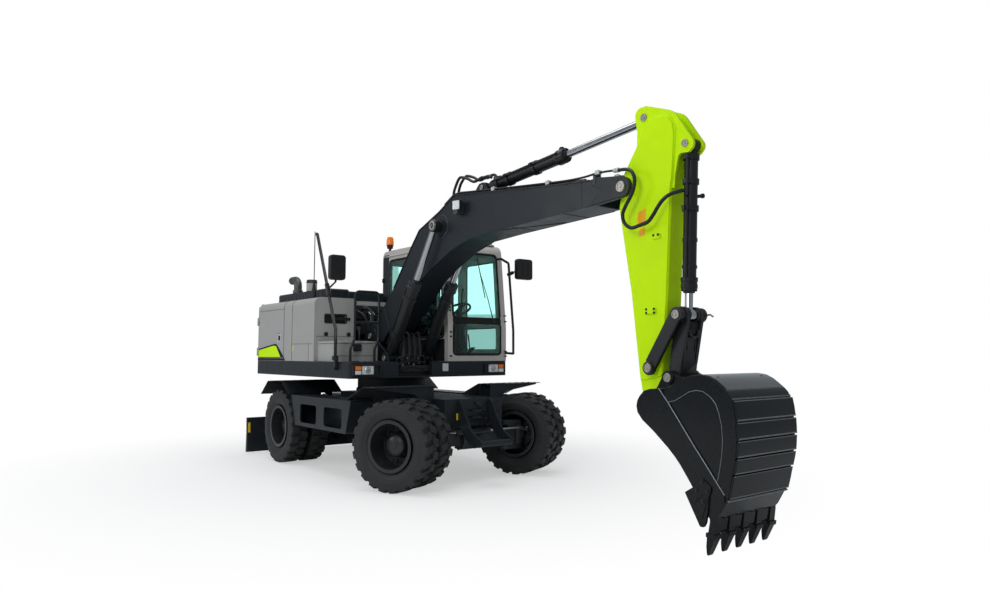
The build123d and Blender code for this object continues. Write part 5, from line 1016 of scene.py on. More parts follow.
# dark band between the two front panes, and the rubber edge inside each
low, high = 1.945, 2.015
bar = [(screen_x(low), low), (screen_x(low) + 0.006, low), (screen_x(high) + 0.006, high),
    (screen_x(high), high)]
piece("screen_bar", extruded(bar, "y", (0.3, 1.12)), groove, "house", "black_plastic", 0.002)
right = [
    (-0.677, ON_DECK), (-0.677, 2.96), (-0.62, 3.01), (-0.5, 3.01),
    (-0.5, 1.76), (-0.47, 1.725), (0.98, 1.725), (0.98, ON_DECK),
]
rear = [(0.223, ON_DECK), (0.223, 2.96), (0.32, 2.96), (0.32, 1.97), (1.11, 1.97), (1.11, ON_DECK)]
dark = [
    extruded(right, "y", (CAB_RIGHT - 0.0018, CAB_RIGHT + 0.001)),
    extruded(rear, "x", (CAB_REAR - 0.0018, CAB_REAR + 0.001)),
]
piece("cab_dark_corner", dark, charcoal, "house", "paint_charcoal")

# roof: raised cap, gutters, frame of the hatch and screws
roof = []
outer = rect((-0.64, 0.9), (0.262, 1.168), 0.09)
inner = rect((0.205, 0.825), (0.325, 1.105), 0.05)
roof.append(ring_between(outer, inner, "z", (CAB_TOP - 0.001, CAB_TOP + 0.018)))
for x in (-0.46, -0.3, -0.14, 0.02):
    roof.append(cuboid((x - 0.018, x + 0.018), (0.42, 1.01), (CAB_TOP + 0.017, CAB_TOP + 0.026)))
piece("cab_roof_cap", roof, cab_grey, "house", "paint_grey", 0.004)
edges = (CAB_RIGHT - 0.003, CAB_LEFT + 0.003)
gutters = [tube([(-0.6, y, 2.985), (0.87, y, 2.985)], 0.01, 8) for y in edges]
piece("cab_gutters", gutters, cab_grey, "house", "paint_grey")

# wiper and its motor cover, caps and buffers beside the screen, then the door's handle, lock and grab bar
trim = []
foot = (float(screen_x(1.975)) + 0.016, 0.98, 1.975)
tip = (float(screen_x(2.62)) + 0.02, 0.8, 2.62)
trim.append(tube([foot, tuple((np.array(foot) + tip) / 2 + (0.014, 0, 0)), tip], [0.009, 0.006, 0.005], 8))
blade = [(float(screen_x(z)) + 0.012, y, z) for y, z in ((0.86, 2.3), (0.76, 2.86))]
trim.append(tube(blade, 0.007, 6))
cover = ((0.0, 0.03), (0.016, 0.028), (0.02, 0.0))
trim.append(turned(cover, (CAB_FRONT - 0.0035, 0.98, 1.975), AHEAD, 20))
for z in (1.5, 1.76, 1.82, 2.11, 2.15):
    trim.append(turned(((0.0, 0.014), (0.012, 0.014), (0.018, 0.008), (0.018, 0.0)),
        (float(screen_x(z)), 0.262, z), AHEAD, 16))
for z in (1.495, 1.56, 1.98, 2.06):
    trim.append(turned(((0.0, 0.01), (0.05, 0.008)), (float(screen_x(z)) - 0.002, 1.185, z), AHEAD, 12))
trim.append(cuboid((-0.672, -0.64), (CAB_RIGHT - 0.02, CAB_RIGHT), (2.6, 2.66)))
piece("cab_trim", trim, moulded, "house", "black_plastic")
handle = [extruded(rect((0.8, 0.925), (1.935, 1.96), 0.01), "y", (CAB_LEFT + 0.018, CAB_LEFT + 0.03))]
handle += [cuboid((x - 0.008, x + 0.008), (CAB_LEFT - 0.001, CAB_LEFT + 0.022), (1.938, 1.957))
    for x in (0.815, 0.91)]
handle.append(turned(((0.0, 0.014), (0.006, 0.012), (0.006, 0.0)), (0.925, CAB_LEFT, 1.89), LEFT, 16))
handle.append(hose([(0.1, CAB_LEFT - 0.047, 2.05), (0.12, CAB_LEFT - 0.085, 2.08),
    (0.12, CAB_LEFT - 0.09, 2.45), (0.1, CAB_LEFT - 0.047, 2.5)], 6, 0.01, 8))
piece("cab_door_handle", handle, moulded, "cab_door", "black_plastic", 0.002)

# ---- Cab inside --------------------------------------------------------------
# Cloth seat with rolled edges on a black suspension box, consoles with short levers, steering column
# and wheel, a display, pedals on a rubber mat and a pale lining under the roof.
cloth = finish("seat_cloth", (0.022, 0.023, 0.026), 0.85, mottle=0.25, grain=220.0, bump=0.4)
lining = finish("roof_lining", (0.42, 0.42, 0.4), 0.8)
skin("console", moulded, 0.008)
SEAT_Y = 0.715


def pillow(middle, half, fullness=0.55, tilt=0.0, count=28):
    """A stuffed block: each direction's sine and cosine raised to the fullness, times the half sizes,
    then leaned back by the tilt about Y."""
    u = np.linspace(-np.pi / 2, np.pi / 2, count)
    v = np.linspace(-np.pi, np.pi, 2 * count, endpoint=False)
    power = lambda value: np.sign(value) * np.abs(value) ** fullness
    u, v = np.meshgrid(u, v, indexing="ij")
    unit = np.stack([power(np.cos(u)) * power(np.cos(v)), power(np.cos(u)) * power(np.sin(v)),
        power(np.sin(u))], -1)
    p = (unit * np.asarray(half)).reshape(-1, 3)
    c, s = math.cos(tilt), math.sin(tilt)
    p = np.column_stack([p[:, 0] * c + p[:, 2] * s, p[:, 1], -p[:, 0] * s + p[:, 2] * c])
    return p + np.asarray(middle), grid_faces(count, 2 * count, wrap_columns=True)


lean = -math.atan2(0.1, 0.74)
base = [cuboid((-0.33, 0.13), (0.515, 0.915), (1.4815, 1.76)),
    cuboid((-0.3, 0.1), (0.53, 0.9), (1.76, 1.8))]
base.append(extruded([(-0.42, 1.82), (-0.52, 2.555), (-0.495, 2.56), (-0.395, 1.82)], "y", (0.49, 0.94)))
for side in SIDES:
    base.append(extruded(eased([(-0.33, 2.04), (-0.06, 2.04), (-0.05, 2.085), (-0.33, 2.085)], 0.02), "y",
        (SEAT_Y + side * 0.245, SEAT_Y + side * 0.255)))
seat_base = piece("seat_base", base, moulded, "house", "black_plastic", 0.012, 3)
cushions = (
    ("seat_cushion", (-0.07, SEAT_Y, 1.86), (0.255, 0.245, 0.062), 0.38, 0.03),
    ("seat_back", (-0.388, SEAT_Y, 2.21), (0.066, 0.235, 0.35), 0.42, lean),
    ("seat_headrest", (-0.48, SEAT_Y, 2.645), (0.05, 0.128, 0.092), 0.5, lean),
    ("seat_bolster_right", (-0.34, SEAT_Y - 0.205, 2.18), (0.06, 0.036, 0.28), 0.6, lean),
    ("seat_bolster_left", (-0.34, SEAT_Y + 0.205, 2.18), (0.06, 0.036, 0.28), 0.6, lean),
)
for name, middle, half, fullness, tilt in cushions:
    cushion = piece(name, pillow(middle, half, fullness, tilt), cloth, "house", "seat_fabric", angle=60)
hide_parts("seat")
inside = [cuboid((0.58, 0.98), (0.3, 1.12), (1.4812, 1.49))]
for y in (0.63, 0.8):
    inside.append(extruded([(0.66, 1.5), (0.84, 1.62), (0.845, 1.612), (0.665, 1.492)], "y",
        (y - 0.035, y + 0.035)))
    inside.append(tube([(0.76, y, 1.57), (0.72, y, 1.8)], 0.01, 8))
for side in SIDES:
    lever = [(x, SEAT_Y + side * 0.33, z) for x, z in ((0.19, 2.15), (0.196, 2.19), (0.2, 2.215),
        (0.206, 2.262))]
    inside.append(hose(lever, 4, [0.016] * 4 + [0.024] * 4 + [0.03] * 4 + [0.026], 12))
inside.append(cuboid((0.87, 0.88), (0.3, 0.39), (2.135, 2.325)))
piece("cab_inside_trim", inside, moulded, "house", "black_plastic", 0.003)
blind = [cuboid((-0.6, 0.22), (0.3, 1.13), (2.995, 3.01)), cuboid((0.8, 0.88), (0.3, 1.13), (2.96, 2.972))]
piece("cab_lining", blind, lining, "house", "black_plastic", 0.004)

# ---- Rails, mirrors and lamps ------------------------------------------------
# Bent tube hoop and mast on the right with clamps, grab rail on the cab, mirror heads in moulded shells,
# a beacon and a work lamp on the roof.
skin("rails", black_paint, 0.0)
skin("cab_rail", black_paint, 0.0)
skin("mirrors", moulded, 0.012, 3)
mirror_glass = finish("mirror_glass", (0.75, 0.78, 0.8), 0.03, metal=1.0, mottle=0.0)
faces = []
shells = []
for x, y, z, width, height in ((0.6, -1.177, 2.62, 0.214, 0.318), (1.22, 1.405, 2.72, 0.28, 0.29)):
    a, b = y - width / 2, y + width / 2
    low, high = z - height / 2, z + height / 2
    inset = 0.016
    faces.append(extruded(rect((a + inset, b - inset), (low + inset, high - inset), 0.03), "x",
        (x - 0.0415, x - 0.039)))
    for k in SIDES:
        rib = [(x + 0.041, y + k * width * 0.18, level) for level in (low + 0.05, high - 0.05)]
        shells.append(tube(rib, 0.004, 6))
piece("mirror_faces", faces, mirror_glass, "house", "chrome")
arm = [(0.5, -1.25, 2.35), (0.56, -1.245, 2.37), (0.6, -1.2, 2.43), (0.607, -1.18, 2.52)]
clamps = [tube(arm, 0.011, 10)]
clamps.append(tube([(0.47, -1.25, 2.4158), (0.54, -1.25, 2.2614)], 0.03, 16))
clamps.append(turned(((-0.045, 0.026), (0.045, 0.026)), (1.145, 1.225, 2.655), (0, 0.9, 0.4), 16))
clamps.append(hose([(1.165, 1.325, 2.7), (1.178, 1.345, 2.7), (1.18, 1.36, 2.72)], 4, 0.01, 8))
clamps.append(turned(((0.0, 0.04), (0.05, 0.04)), (0.74, -1.25, 1.452), UP, 20))
for z in (1.35, 1.46):
    clamps += bolts([(0.74, -1.262, z)], (0, -1, 0), 0.012, 0.008)
hook = curve_through([(0.16, -1.25, 3.085), (0.152, -1.25, 3.11), (0.13, -1.25, 3.107),
    (0.128, -1.25, 3.08)], 5)
clamps.append(tube(hook, 0.009, 8))
piece("rail_clamps", clamps + shells, black_paint, "house", "paint_black")
BEACON = (-0.6, 0.29)
WORK_LAMP = (0.83, 1.07, CAB_TOP + 0.068)
base = [turned(((-0.001, 0.02), (0.05, 0.02), (0.06, 0.044), (0.105, 0.05), (0.112, 0.056)),
    (*BEACON, CAB_TOP), UP, 28)]
base.append(cuboid((0.835, 0.885), (1.045, 1.095), (CAB_TOP - 0.001, CAB_TOP + 0.022)))
base.append(turned(((0.0, 0.045), (0.02, 0.056), (0.04, 0.056)), WORK_LAMP, AHEAD, 28))
piece("roof_lamp_bases", base, moulded, "house", "black_plastic", 0.002)
dome = turned(((0.11, 0.054), (0.125, 0.056), (0.205, 0.05), (0.232, 0.042), (0.24, 0.0)),
    (*BEACON, CAB_TOP), UP, 32)
ribs = []
for angle in np.arange(0, 2 * np.pi, np.pi / 9):
    aim = np.array((math.cos(angle), math.sin(angle)))
    foot, head = ((*(BEACON + aim * out), CAB_TOP + up) for out, up in ((0.054, 0.125), (0.049, 0.205)))
    ribs.append(tube([foot, head], 0.0025, 6))
piece("beacon_dome", [dome] + ribs, orange_lens, "house", "lamp_plastic")
work_lens = turned(((0.038, 0.052), (0.042, 0.05), (0.046, 0.03), (0.047, 0.0)), WORK_LAMP, AHEAD, 28)
piece("roof_work_lamp", work_lens, lamp_clear, "house", "lamp_plastic")

# ---- Boom --------------------------------------------------------------------
# A welded box boom in charcoal paint with flange edges, weld seams, a cast tip and bosses; pale pin
# caps close its pins, and two steel pipes are clipped along its top.
BOOM_MID, BOOM_SIDE = -0.2, 0.18
# (x, z) places of the pins
BOOM_FOOT, BOOM_ROD_PIN, ARM_PIN = (0.13, 1.77), (1.77, 3.07), (4.664, 3.045)
BOOM_TUBE_FOOT, ARM_TUBE_FOOT, ARM_ROD_PIN = (0.732, 1.47), (2.45, 3.445), (4.86, 3.657)
BUCKET_TUBE_FOOT, ROCKER_TOP, ROCKER_PIN = (5.306, 3.32), (5.241, 1.862), (4.94, 1.411)
BUCKET_PIN, LINK_PIN = (5.03, 1.1), (5.154, 1.334)
pin_grey = finish("pin_cap", (0.36, 0.34, 0.31), 0.35, metal=0.6, mottle=0.12, grain=30.0)
clip_grey = finish("clip_plastic", (0.52, 0.56, 0.52), 0.45)
weld = finish("weld_bead", (0.048, 0.052, 0.058), 0.55, bump=0.6, grain=160.0)
skin("boom", charcoal, 0.007)
skin("boom_cylinders", black_paint, 0.004)
skin("boom_rods", chrome, 0.003)
skin("arm_cylinder", black_paint, 0.004)
skin("arm_rod", chrome, 0.003)
LOWER_EDGE = [(0.43, 1.728), (0.878, 2.083), (1.34, 2.455), (1.562, 2.575), (1.986, 2.758), (2.351, 2.851),
    (2.891, 2.88), (4.25, 2.9225)]
UPPER_EDGE = [(0.657, 2.399), (1.071, 2.877), (1.273, 3.092), (1.721, 3.262), (2.043, 3.417), (3.69, 3.233),
    (4.268, 3.182)]


def strip_along(path, depth, lift, y):
    """A strip of plate along a run of (x, z) places, from depth below to lift above it, between two Y."""
    path = np.asarray(path, float)
    run = np.gradient(path, axis=0)
    run /= np.linalg.norm(run, axis=1)[:, None]
    side = np.column_stack([-run[:, 1], run[:, 0]])
    return extruded(np.vstack([path + side * lift, (path - side * depth)[::-1]]), "y", y)


def arc(centre, radius, start, stop, count):
    """Evenly spaced (x, z) places on a circle's arc between two angles in degrees."""
    angles = np.radians(np.linspace(start, stop, count))
    return [(centre[0] + radius * math.cos(a), centre[1] + radius * math.sin(a)) for a in angles]


def across_y(rows, place, y, out, sides=36):
    """A turned shape at an (x, z) place and a y, its axis pointing out along y or against it."""
    return turned(rows, (place[0], y, place[1]), (0, out, 0), sides)


def cap_on(place, y, out, radius, washer=0.0):
    """A pin's end at an (x, z) place: a rim, a shallow hollow and a bolt head, on a washer if it has one."""
    rows = [(-0.004, radius), (0.006, radius), (0.009, radius * 0.92), (0.009, radius * 0.72),
        (0.005, radius * 0.66), (0.005, radius * 0.3), (0.01, radius * 0.28), (0.01, 0.0)]
    shapes = [across_y(rows, place, y, out)]
    if washer:
        disc = [(-0.003, washer), (0.003, washer), (0.005, washer - 0.003), (0.005, radius - 0.002)]
        shapes.append(across_y(disc, place, y, out, 40))
    return shapes


def caps_on(place, off, radius, washer=0.0):
    """Pin ends on both sides, each that far from the boom's middle."""
    return [shape for side in SIDES for shape in cap_on(place, BOOM_MID + side * off, side, radius, washer)]


flanges = []
for side in SIDES:
    face = BOOM_MID + side * BOOM_SIDE
    near = (face - side * 0.004, face + side * 0.009)
    flanges.append(strip_along(LOWER_EDGE, 0.002, 0.013, near))
    flanges.append(strip_along(UPPER_EDGE, 0.012, 0.002, near))
    # cheek of the cast tip, its end following the pin's boss
    around = arc(ARM_PIN, 0.1, -62, 78, 16)
    flanges.append(extruded([(4.29, 2.93), (4.42, 3.062), (4.29, 3.135), (4.28, 3.176),
        (4.395, 3.181)] + around[::-1], "y", (face - side * 0.004, face + side * 0.008)))
    flanges.append(across_y([(0.0, 0.142), (0.006, 0.14), (0.008, 0.136), (0.008, 0.09)], BOOM_ROD_PIN,
        face - side * 0.001, side, 48))
    flanges.append(across_y([(0.0, 0.17), (0.006, 0.168), (0.008, 0.164), (0.008, 0.03)], BOOM_FOOT,
        face - side * 0.001, side, 48))
piece("boom_flanges", flanges, charcoal, "boom", "paint_charcoal", 0.002)
seams = []
for side in SIDES:
    y = BOOM_MID + side * (BOOM_SIDE + 0.001)
    for run in ([(2.72, 2.885), (2.72, 3.33)], [(4.16, 2.935), (4.16, 3.18)],
            [(1.48, 2.545), (1.395, 3.13)], [(0.56, 1.85), (0.42, 2.14)]):
        seams.append(tube([(x, y, z) for x, z in run], 0.0035, 6))
    seams.append(tube([(4.283, y, 2.936), (4.412, y, 3.062), (4.283, y, 3.14)], 0.005, 6))
    seams.append(tube([(x, y, z) for x, z in arc(BOOM_ROD_PIN, 0.143, 0, 360, 41)], 0.004, 6))
for x, z in ((2.3, 2.842), (3.1, 2.886), (3.9, 2.911)):
    seams.append(tube([(x, BOOM_MID - 0.17, z), (x, BOOM_MID + 0.17, z)], 0.005, 6))
seams.append(tube([(2.91, BOOM_MID - 0.16, 2.879), (3.6, BOOM_MID + 0.16, 2.9)], 0.005, 6))
piece("boom_welds", seams, weld, "boom", "paint_charcoal")
for name, body, place, off, radius in (
    ("arm_pin_caps", "arm", ARM_PIN, BOOM_SIDE + 0.012, 0.05),
    ("boom_foot_caps", "house", BOOM_FOOT, 0.237, 0.04),
    ("arm_cylinder_foot_caps", "boom", ARM_TUBE_FOOT, 0.0865, 0.03),
):
    piece(name, caps_on(place, off, radius), pin_grey, body, "steel")

# Boom-top pipes, their clips and the hoses to the arm's cylinder
run_y = (-0.335, -0.065)
pipes = []
ends = []
for y in run_y:
    pipes.append(hose([(1.33, y, 3.14), (1.7, y, 3.285), (1.87, y, 3.392), (2.04, y, 3.44), (2.4, y, 3.405),
        (3.69, y, 3.268), (4.1, y, 3.238), (4.34, y, 3.243), (4.56, y, 3.226)], 6, 0.0105, 10))
    ends.append(turned([(-0.032, 0.015), (-0.03, 0.022), (-0.006, 0.022), (-0.004, 0.017), (0.004, 0.017),
        (0.006, 0.023), (0.026, 0.023), (0.03, 0.016)], (4.572, y, 3.223), (1.0, 0.0, -0.08), 14))
pipes.append(hose([(1.79, -0.345, 3.345), (1.9, -0.35, 3.385), (2.03, -0.35, 3.395), (2.5, -0.35, 3.35),
    (2.74, -0.345, 3.33)], 6, 0.009, 8))
piece("boom_pipes", pipes, hose_black, "boom", "paint_black")
for x in (2.74, 3.64, 4.338):
    for y in run_y:
        z = float(np.interp(x, [2.04, 3.69, 4.1, 4.34], [3.44, 3.268, 3.238, 3.243]))
        clip = rect((x - 0.026, x + 0.026), (z - 0.018, z + 0.024), 0.01)
        ends.append(extruded(clip, "y", (y - 0.021, y + 0.021)))
        ends += bolts([(x, y, z + 0.024)], UP, 0.008, 0.008)
piece("boom_pipe_clips", ends, clip_grey, "boom", "steel")
# hoses across the joints, fixed in place: boom to the arm's cylinder, boom to arm, arm to the bucket's
# cylinder
loops = []
for y, inset in ((-0.155, 0.0), (-0.245, 0.03)):
    route = [(1.804 + inset, y, 3.3), (1.806 + inset, y, 3.48), (1.851 + inset, y, 3.602 - inset),
        (1.945, y, 3.678 - inset), (2.007, y, 3.684 - inset), (2.129, y, 3.642 - inset),
        (2.205, y, 3.601 - inset), (2.264, y, 3.585 - inset), (2.337, y, 3.594 - inset),
        (2.42, y, 3.6 - inset), (2.524, y, 3.6 - inset), (2.585, y, 3.545)]
    loops.append(hose(route, 6, 0.017, 12))
    loops.append(turned([(-0.035, 0.018), (-0.033, 0.022), (-0.005, 0.022), (-0.003, 0.026), (0.022, 0.026),
        (0.026, 0.018)], (2.395, y, 3.598 - inset), AHEAD, 14))
piece("arm_cylinder_hoses", loops, hose_black, ("boom", "arm_cylinder", (2.18, BOOM_MID, 3.6),
    (2.4, BOOM_MID, 3.6)), "paint_black")
# x, how far in from 0.11 m off the boom's middle, and z
TIP_HOSE = [(4.574, -0.025, 3.221), (4.69, -0.045, 3.205), (4.795, -0.09, 3.166), (4.848, -0.108, 3.105),
    (4.856, -0.112, 3.033), (4.827, -0.112, 2.953), (4.752, -0.112, 2.852), (4.714, -0.112, 2.779),
    (4.731, -0.108, 2.699), (4.803, -0.104, 2.646), (4.893, -0.1, 2.655), (4.982, -0.09, 2.676)]
ARM_HOSE = [(4.935, -0.095, 2.66), (4.982, -0.09, 2.676), (5.036, -0.088, 2.725), (5.086, -0.084, 2.79),
    (5.134, -0.074, 2.846), (5.184, -0.05, 2.886), (5.236, -0.005, 2.91), (5.29, 0.045, 2.925)]
for name, route, bodies in (
    ("boom_tip_hoses", TIP_HOSE, ("boom", "arm", (4.62, BOOM_MID, 3.2), (4.8, BOOM_MID, 2.65))),
    (
        "bucket_cylinder_hoses", ARM_HOSE,
        ("arm", "bucket_cylinder", (4.99, BOOM_MID, 2.68), (5.26, BOOM_MID, 2.92)),
    ),
):
    loops = []
    for side in SIDES:
        loops.append(hose([(x, BOOM_MID + side * (0.11 - out), z) for x, out, z in route], 6, 0.0165, 12))
    piece(name, loops, hose_black, bodies, "paint_black")
feet = []
for x in (2.74, 3.64):
    for y in run_y:
        top = float(np.interp(x, [2.04, 3.69], [3.422, 3.25]))
        feet.append(extruded([(x - 0.04, top - 0.02), (x + 0.04, top - 0.024), (x + 0.026, top),
            (x - 0.026, top)], "y", (y - 0.028, y + 0.028)))
for y in run_y:
    feet.append(cuboid((4.322, 4.354), (y - 0.022, y + 0.022), (3.176, 3.228)))
feet.append(cuboid((4.322, 4.354), (-0.392, -0.384), (3.115, 3.215)))
feet.append(cuboid((4.322, 4.354), (-0.392, -0.314), (3.205, 3.214)))
piece("boom_clip_feet", feet, black_paint, "boom", "paint_black", 0.002)

# Work lamp on the boom's side
box = rect((-0.466, -0.394), (3.176, 3.284), 0.014)
lamp = [extruded(box, "x", (2.165, 2.222)),
    extruded(eased([(2.136, 3.198), (2.286, 3.19), (2.286, 3.31), (2.136, 3.322)], 0.016), "y",
    (-0.476, -0.44))]
lamp.append(tube([(2.19, -0.43, 3.18), (2.2, -0.425, 3.155), (2.215, -0.39, 3.152)], 0.008, 8))
lamp.append(extruded([(2.18, 3.15), (2.235, 3.165), (2.236, 3.186), (2.18, 3.172)], "y", (-0.4, -0.381)))
lamp += bolts([(2.205, -0.4, 3.166)], (0, -1, 0), 0.01, 0.008)
piece("boom_lamp_shell", lamp, moulded, "boom", "black_plastic", 0.002)
inner_box = eased([(2.146, 3.208), (2.276, 3.2), (2.276, 3.3), (2.146, 3.312)], 0.012)
lens = extruded(inner_box, "y", (-0.482, -0.466))
piece("boom_lamp_lens", lens, lamp_clear, "boom", "lamp_plastic", 0.002)

# ---- Boom and arm cylinders --------------------------------------------------
# Black painted tubes with clamped pipes and ribbed heads; hard-chromed rods.


def stations(foot, run, places):
    """Points at distances along a tube from its foot, each moved out by its own offset."""
    return [foot + run * at + offset for at, offset in places]


def cylinder_trim(foot, eye, y, radius, head_at, rod, bands, flip, flat):
    """What a hydraulic tube carries: ribs and bolts round its head, and clamps at the stated distances, each
    with a saddle for a pipe on its side, turned about the tube by the flat angle."""
    foot = np.array((foot[0], y, foot[1]))
    run = np.array((eye[0], y, eye[1])) - foot
    run /= np.linalg.norm(run)
    side = np.array((0.0, math.cos(flat), 0.0)) * flip + np.cross(run, LEFT) * math.sin(flat)
    shapes = []
    head = [(0.0, radius), (0.004, radius + 0.014), (0.038, radius + 0.014), (0.042, radius + 0.009),
        (0.06, radius + 0.009), (0.064, radius + 0.013), (0.096, radius + 0.013), (0.1, radius + 0.006),
        (0.112, radius - 0.004), (0.118, rod + 0.016), (0.136, rod + 0.014), (0.138, rod + 0.002)]
    shapes.append(turned(head, foot + run * (head_at - 0.113), run, 32, True))
    ring = circle_of(foot + run * (head_at - 0.001), run, (radius + rod) / 2 + 0.012, 8)
    shapes += bolts(ring, run, 0.008, 0.01)
    for at in bands:
        middle = foot + run * at
        under, over = radius - 0.002, radius + 0.012
        clamp = [(-0.024, under), (-0.024, over), (0.024, over), (0.024, under)]
        shapes.append(turned(clamp, middle, run, 32, True))
        grip = middle + side * (radius + 0.018)
        shapes.append(turned([(-0.02, 0.0), (-0.02, 0.022), (0.02, 0.022), (0.02, 0.0)], grip, run, 10))
    return shapes, foot, run, side


# outer radii of the tubes, and how far each of the boom's two stands from its middle
BOOM_TUBE, ARM_TUBE, BUCKET_TUBE = 0.0725, 0.066, 0.058
BOOM_TUBE_OUT = 0.275
shapes = []
for out in SIDES:
    y = BOOM_MID + out * BOOM_TUBE_OUT
    got, foot, run, side = cylinder_trim(
        BOOM_TUBE_FOOT, BOOM_ROD_PIN, y, BOOM_TUBE, 1.142, 0.04, (0.36, 0.9), out, 0.9
    )
    shapes += got
    grip = side * (BOOM_TUBE + 0.018)
    port = side * 0.05
    places = ((0.15, port), (0.2, grip), (0.24, grip), (1.05, grip), (1.085, grip), (1.1, port))
    shapes.append(hose(stations(foot, run, places), 5, 0.011, 8))
piece("boom_cylinder_trim", shapes, black_paint, "boom_cylinders", "paint_black")
piece("boom_rod_caps", caps_on(BOOM_ROD_PIN, 0.317, 0.046, 0.06), pin_grey, "boom_rods", "steel")
eyes = []
for out in SIDES:
    eyes.append(across_y([(-0.0425, 0.079), (0.0425, 0.079), (0.0425, 0.055)], BOOM_ROD_PIN,
        BOOM_MID + out * BOOM_TUBE_OUT, out))
    eyes.append(across_y([(-0.0425, 0.055), (-0.0425, 0.079)], BOOM_ROD_PIN, BOOM_MID + out * BOOM_TUBE_OUT,
        out))
piece("boom_rod_eyes", eyes, black_paint, "boom_rods", "paint_black", 0.004)
piece("boom_cylinder_foot_caps", caps_on(BOOM_TUBE_FOOT, 0.358, 0.034), pin_grey, "house", "steel")

shapes, foot, run, side = cylinder_trim(ARM_TUBE_FOOT, ARM_ROD_PIN, BOOM_MID, ARM_TUBE, 1.327, 0.038,
    (0.42, 0.86), -1, 0.3)
up = np.cross(run, LEFT)
up *= np.sign(up[2])
grip = side * (ARM_TUBE + 0.018)
places = ((0.17, up * 0.06), (0.23, grip), (0.27, grip), (1.18, grip), (1.23, grip), (1.262, up * 0.064))
shapes.append(hose(stations(foot, run, places), 5, 0.011, 8))
for at in (0.17, 1.262):
    middle = foot + run * at
    shapes.append(turned([(0.04, 0.032), (0.086, 0.032), (0.09, 0.024), (0.1, 0.024), (0.1, 0.0)], middle,
        up, 12))
shapes.append(turned([(0.215, 0.068), (0.219, 0.084), (0.262, 0.084), (0.266, 0.068)], foot, run, 24, True))
piece("arm_cylinder_trim", shapes, black_paint, "arm_cylinder", "paint_black")

# ---- Arm ---------------------------------------------------------------------
# A tapering welded box in yellow-green paint between two head plates; thick side plates with a rounded
# top are welded on, with bolted pads, pin caps and blank orange patches.
skin("arm", lime, 0.007)
ARM_SIDE = 0.092
ARCH = [(4.792, 1.3), (4.703, 2.079), (4.59, 2.8), (4.64, 2.96), (4.7, 3.14), (4.76, 3.307), (4.782, 3.375),
    (4.842, 3.48), (4.902, 3.566), (4.96, 3.606), (5.03, 3.62), (5.095, 3.614), (5.149, 3.582),
    (5.184, 3.525), (5.199, 3.44), (5.188, 3.285), (5.17, 3.056), (5.15, 2.96), (5.086, 1.983),
    (5.024, 1.343)]
plates = []
for side in SIDES:
    face = BOOM_MID + side * ARM_SIDE
    plates.append(extruded(ARCH, "y", (face - side * 0.003, face + side * 0.015)))
    for x, z in (((4.96, 5.044), (2.53, 2.58)), ((4.868, 4.982), (1.878, 1.934))):
        plates.append(extruded(rect(x, z, 0.008), "y", (face, face + side * 0.032)))
piece("arm_side_plates", plates, lime, "arm", "paint_green", 0.006)
spots = []
for side in SIDES:
    y = BOOM_MID + side * (ARM_SIDE + 0.032)
    for x, z in ((4.976, 2.567), (5.028, 2.567), (4.882, 1.922), (4.968, 1.922), (4.882, 1.89),
            (4.968, 1.89)):
        spots += bolts([(x, y, z)], (0, side, 0), 0.009, 0.005)
piece("arm_pad_bolts", spots, black_paint, "arm", "paint_black")
beads = []
for side in SIDES:
    y = BOOM_MID + side * (ARM_SIDE - 0.0005)
    beads.append(tube([(x, y, z) for x, z in ARCH], 0.0055, 6))
    z = np.linspace(1.5, 2.9, 8)
    x = np.interp(z, [1.343, 1.983, 2.979], [5.028, 5.092, 5.157]) - 0.001
    beads.append(tube(np.column_stack([x, np.full(len(z), BOOM_MID + side * 0.084), z]), 0.004, 6))
piece("arm_welds", beads, lime, "arm", "paint_green")
caps = caps_on(ARM_ROD_PIN, 0.0865, 0.036) + caps_on(BUCKET_TUBE_FOOT, 0.0925, 0.034)
caps += caps_on(ROCKER_PIN, 0.1865, 0.04)
piece("arm_caps", caps, pin_grey, "arm", "steel")
rings = []
for side in SIDES:
    rings.append(across_y([(-0.013, 0.056), (0.0, 0.056), (0.002, 0.052), (0.002, 0.034)], ROCKER_PIN,
        BOOM_MID + side * 0.186, side, 32))
piece("rocker_pin_washers", rings, black_paint, "arm", "paint_black")
amber = finish("blank_orange_patch", (0.95, 0.42, 0.005), 0.4, mottle=0.02)
patches = [
    extruded(outline, "y", (BOOM_MID - ARM_SIDE - 0.0165, BOOM_MID - ARM_SIDE - 0.014))
    for outline in (
        [(4.792, 2.795), (4.885, 2.822), (4.875, 2.7), (4.792, 2.672)],
        [(4.8, 2.64), (4.872, 2.655), (4.866, 2.585), (4.8, 2.572)],
    )
]
piece("arm_patches", patches, amber, "arm", "paint_green")

# ---- Bucket cylinder and links -----------------------------------------------
# The cylinder stands on the arm's front with its pipe and clamps; forged rocker links and a cast
# bucket link carry its force down, all in black paint with pale pin caps.
skin("bucket_cylinder", black_paint, 0.004)
skin("bucket_rod", chrome, 0.003)
skin("rocker_links", black_paint, 0.008, 3)
skin("bucket_link", black_paint, 0.008, 3)
shapes, foot, run, side = cylinder_trim(BUCKET_TUBE_FOOT, ROCKER_TOP, BOOM_MID, BUCKET_TUBE, 1.25, 0.034,
    (0.11, 0.32, 0.55), -1, 0.25)
grip = side * (BUCKET_TUBE + 0.02)
places = ((0.09, side * 0.04), (0.12, grip), (0.16, grip), (0.42, grip), (0.45, grip * 1.05))
shapes.append(hose(stations(foot, run, places), 5, 0.012, 8))
places = ((0.47, grip * 0.9), (0.52, grip), (1.08, grip), (1.13, grip * 0.9), (1.15, side * 0.05))
shapes.append(hose(stations(foot, run, places), 5, 0.011, 8))
for at in (0.56, 0.82, 1.05):
    shapes.append(turned([(-0.014, 0.057), (-0.014, 0.064), (0.014, 0.064), (0.014, 0.057)],
        foot + run * at, run, 28, True))
